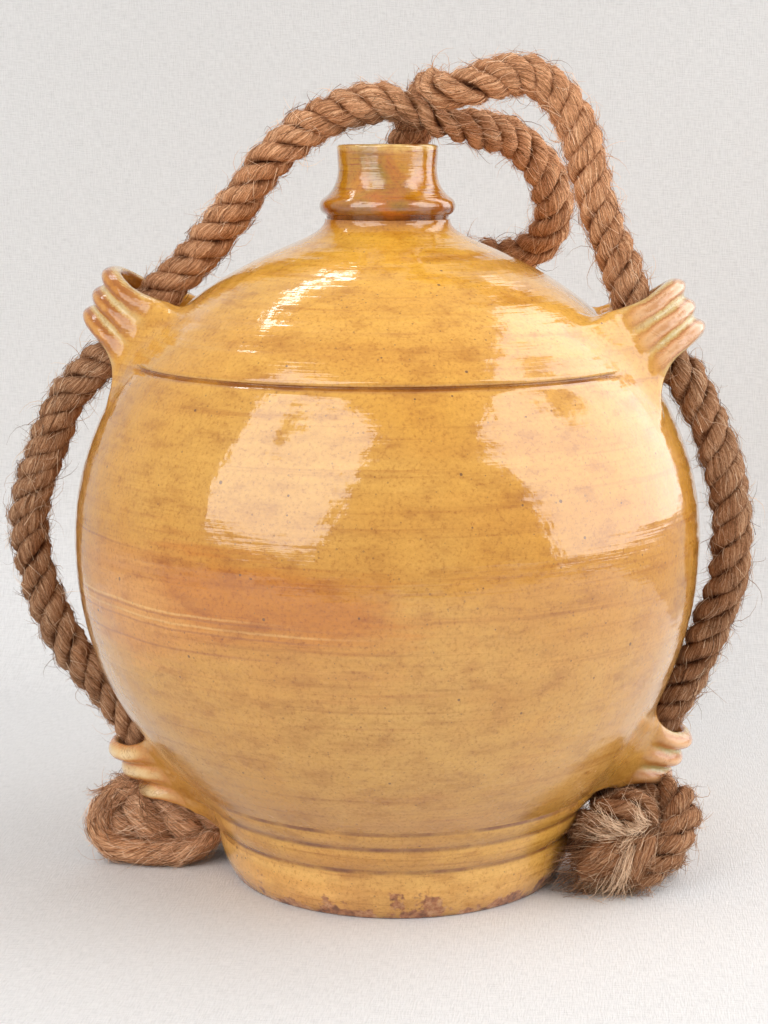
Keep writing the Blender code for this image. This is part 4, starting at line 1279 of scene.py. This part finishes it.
def makeGround():
    line = [(ground["front"], 0.0), (-0.4, 0.0), (-0.001, 0.0), (ground["back"] - ground["bend"], 0.0)]
    for step in range(1, ground["bendSteps"] + 1):
        angle = math.pi / 2 * step / ground["bendSteps"]
        line.append((ground["back"] - ground["bend"] + ground["bend"] * math.sin(angle),
                     ground["bend"] * (1 - math.cos(angle))))
    line.append((ground["back"], ground["top"]))
    points = []
    for y, z in line:
        left, right = ((-ground["halfWidth"], ground["halfWidth"]) if y < 0
                       else (ground["wallLeft"], ground["wallRight"]))
        points += [(left, y, z), (right, y, z)]
    mesh = bpy.data.meshes.new("linenGround")
    mesh.from_pydata(points, [], [(k, k + 1, k + 3, k + 2) for k in range(0, len(points) - 2, 2)])
    mesh.shade_smooth()
    mesh.materials.append(linenMaterial())
    return addPiece("linenGround", mesh)


makeGround()

lamps = {
    "leftSoftbox": {"bearing": -36, "height": 33, "far": 1.5, "size": (1.36, 1.70), "power": 19.0,
                    "roll": -8, "shaft": 0.37, "farSide": 1.0},
    "rightSoftbox": {"bearing": 106, "height": 28, "far": 1.4, "size": (2.6, 1.8), "power": 41.0,
                     "roll": 0, "shaft": 0.46, "farSide": 0.55},
    "backStrip": {"bearing": -140, "height": 56, "far": 1.6, "size": (0.80, 0.09), "power": 1.8,
                  "roll": 0},
}
lampTarget = (0, -0.08, 0.22)
skyColour, skyStrength = (1.0, 0.98, 0.955, 1), 0.55


def softenLamp(lampData, shaftPlace, farSide):
    # fades at the rim and towards its far side, with a dark mark where its head is fixed
    lampData.use_nodes = True
    tree = lampData.node_tree
    across, up, _ = splitXYZ(flow("ShaderNodeNewGeometry", tree=tree, out="Parametric"))

    def around(place, middle, near, far, low, high):
        return remap(maths("ABSOLUTE", place - middle), near, far, low, high, "SMOOTHSTEP")

    strength = around(across, 0.5, 0.455, 0.5, 1.0, 0.0) * around(up, 0.5, 0.455, 0.5, 1.0, 0.0)
    strength = strength * remap(across, 0.25, 1.0, 1.0, farSide)
    shaft = around(across, shaftPlace, 0.045, 0.085, 0.95, 0.0) * around(up, 0.70, 0.09, 0.16, 1.0, 0.0)
    plug(tree.nodes["Emission"].inputs["Strength"], strength * (1.0 - shaft))


for lampName, setup in lamps.items():
    bearing, height = math.radians(setup["bearing"]), math.radians(setup["height"])
    direction = Vector((math.sin(bearing) * math.cos(height), -math.cos(bearing) * math.cos(height),
                        math.sin(height)))
    lampData = bpy.data.lights.new(lampName, "AREA")
    lampData.shape = "RECTANGLE"
    lampData.size, lampData.size_y = setup["size"]
    lampData.energy = setup["power"]
    lamp = bpy.data.objects.new(lampName, lampData)
    lamp.location = Vector(lampTarget) + direction * setup["far"]
    lamp.rotation_euler = (direction.to_track_quat("Z", "Y").to_matrix()
                           @ Matrix.Rotation(math.radians(setup["roll"]), 3, "Z")).to_euler()
    if "shaft" in setup:
        softenLamp(lampData, setup["shaft"], setup["farSide"])
    scene.collection.objects.link(lamp)

world = bpy.data.worlds.new("studio")
world.use_nodes = True
background = world.node_tree.nodes["Background"]
background.inputs[0].default_value = skyColour
background.inputs[1].default_value = skyStrength
scene.world = world
scene.view_settings.view_transform = "Standard"
print("ground and lamps are set")
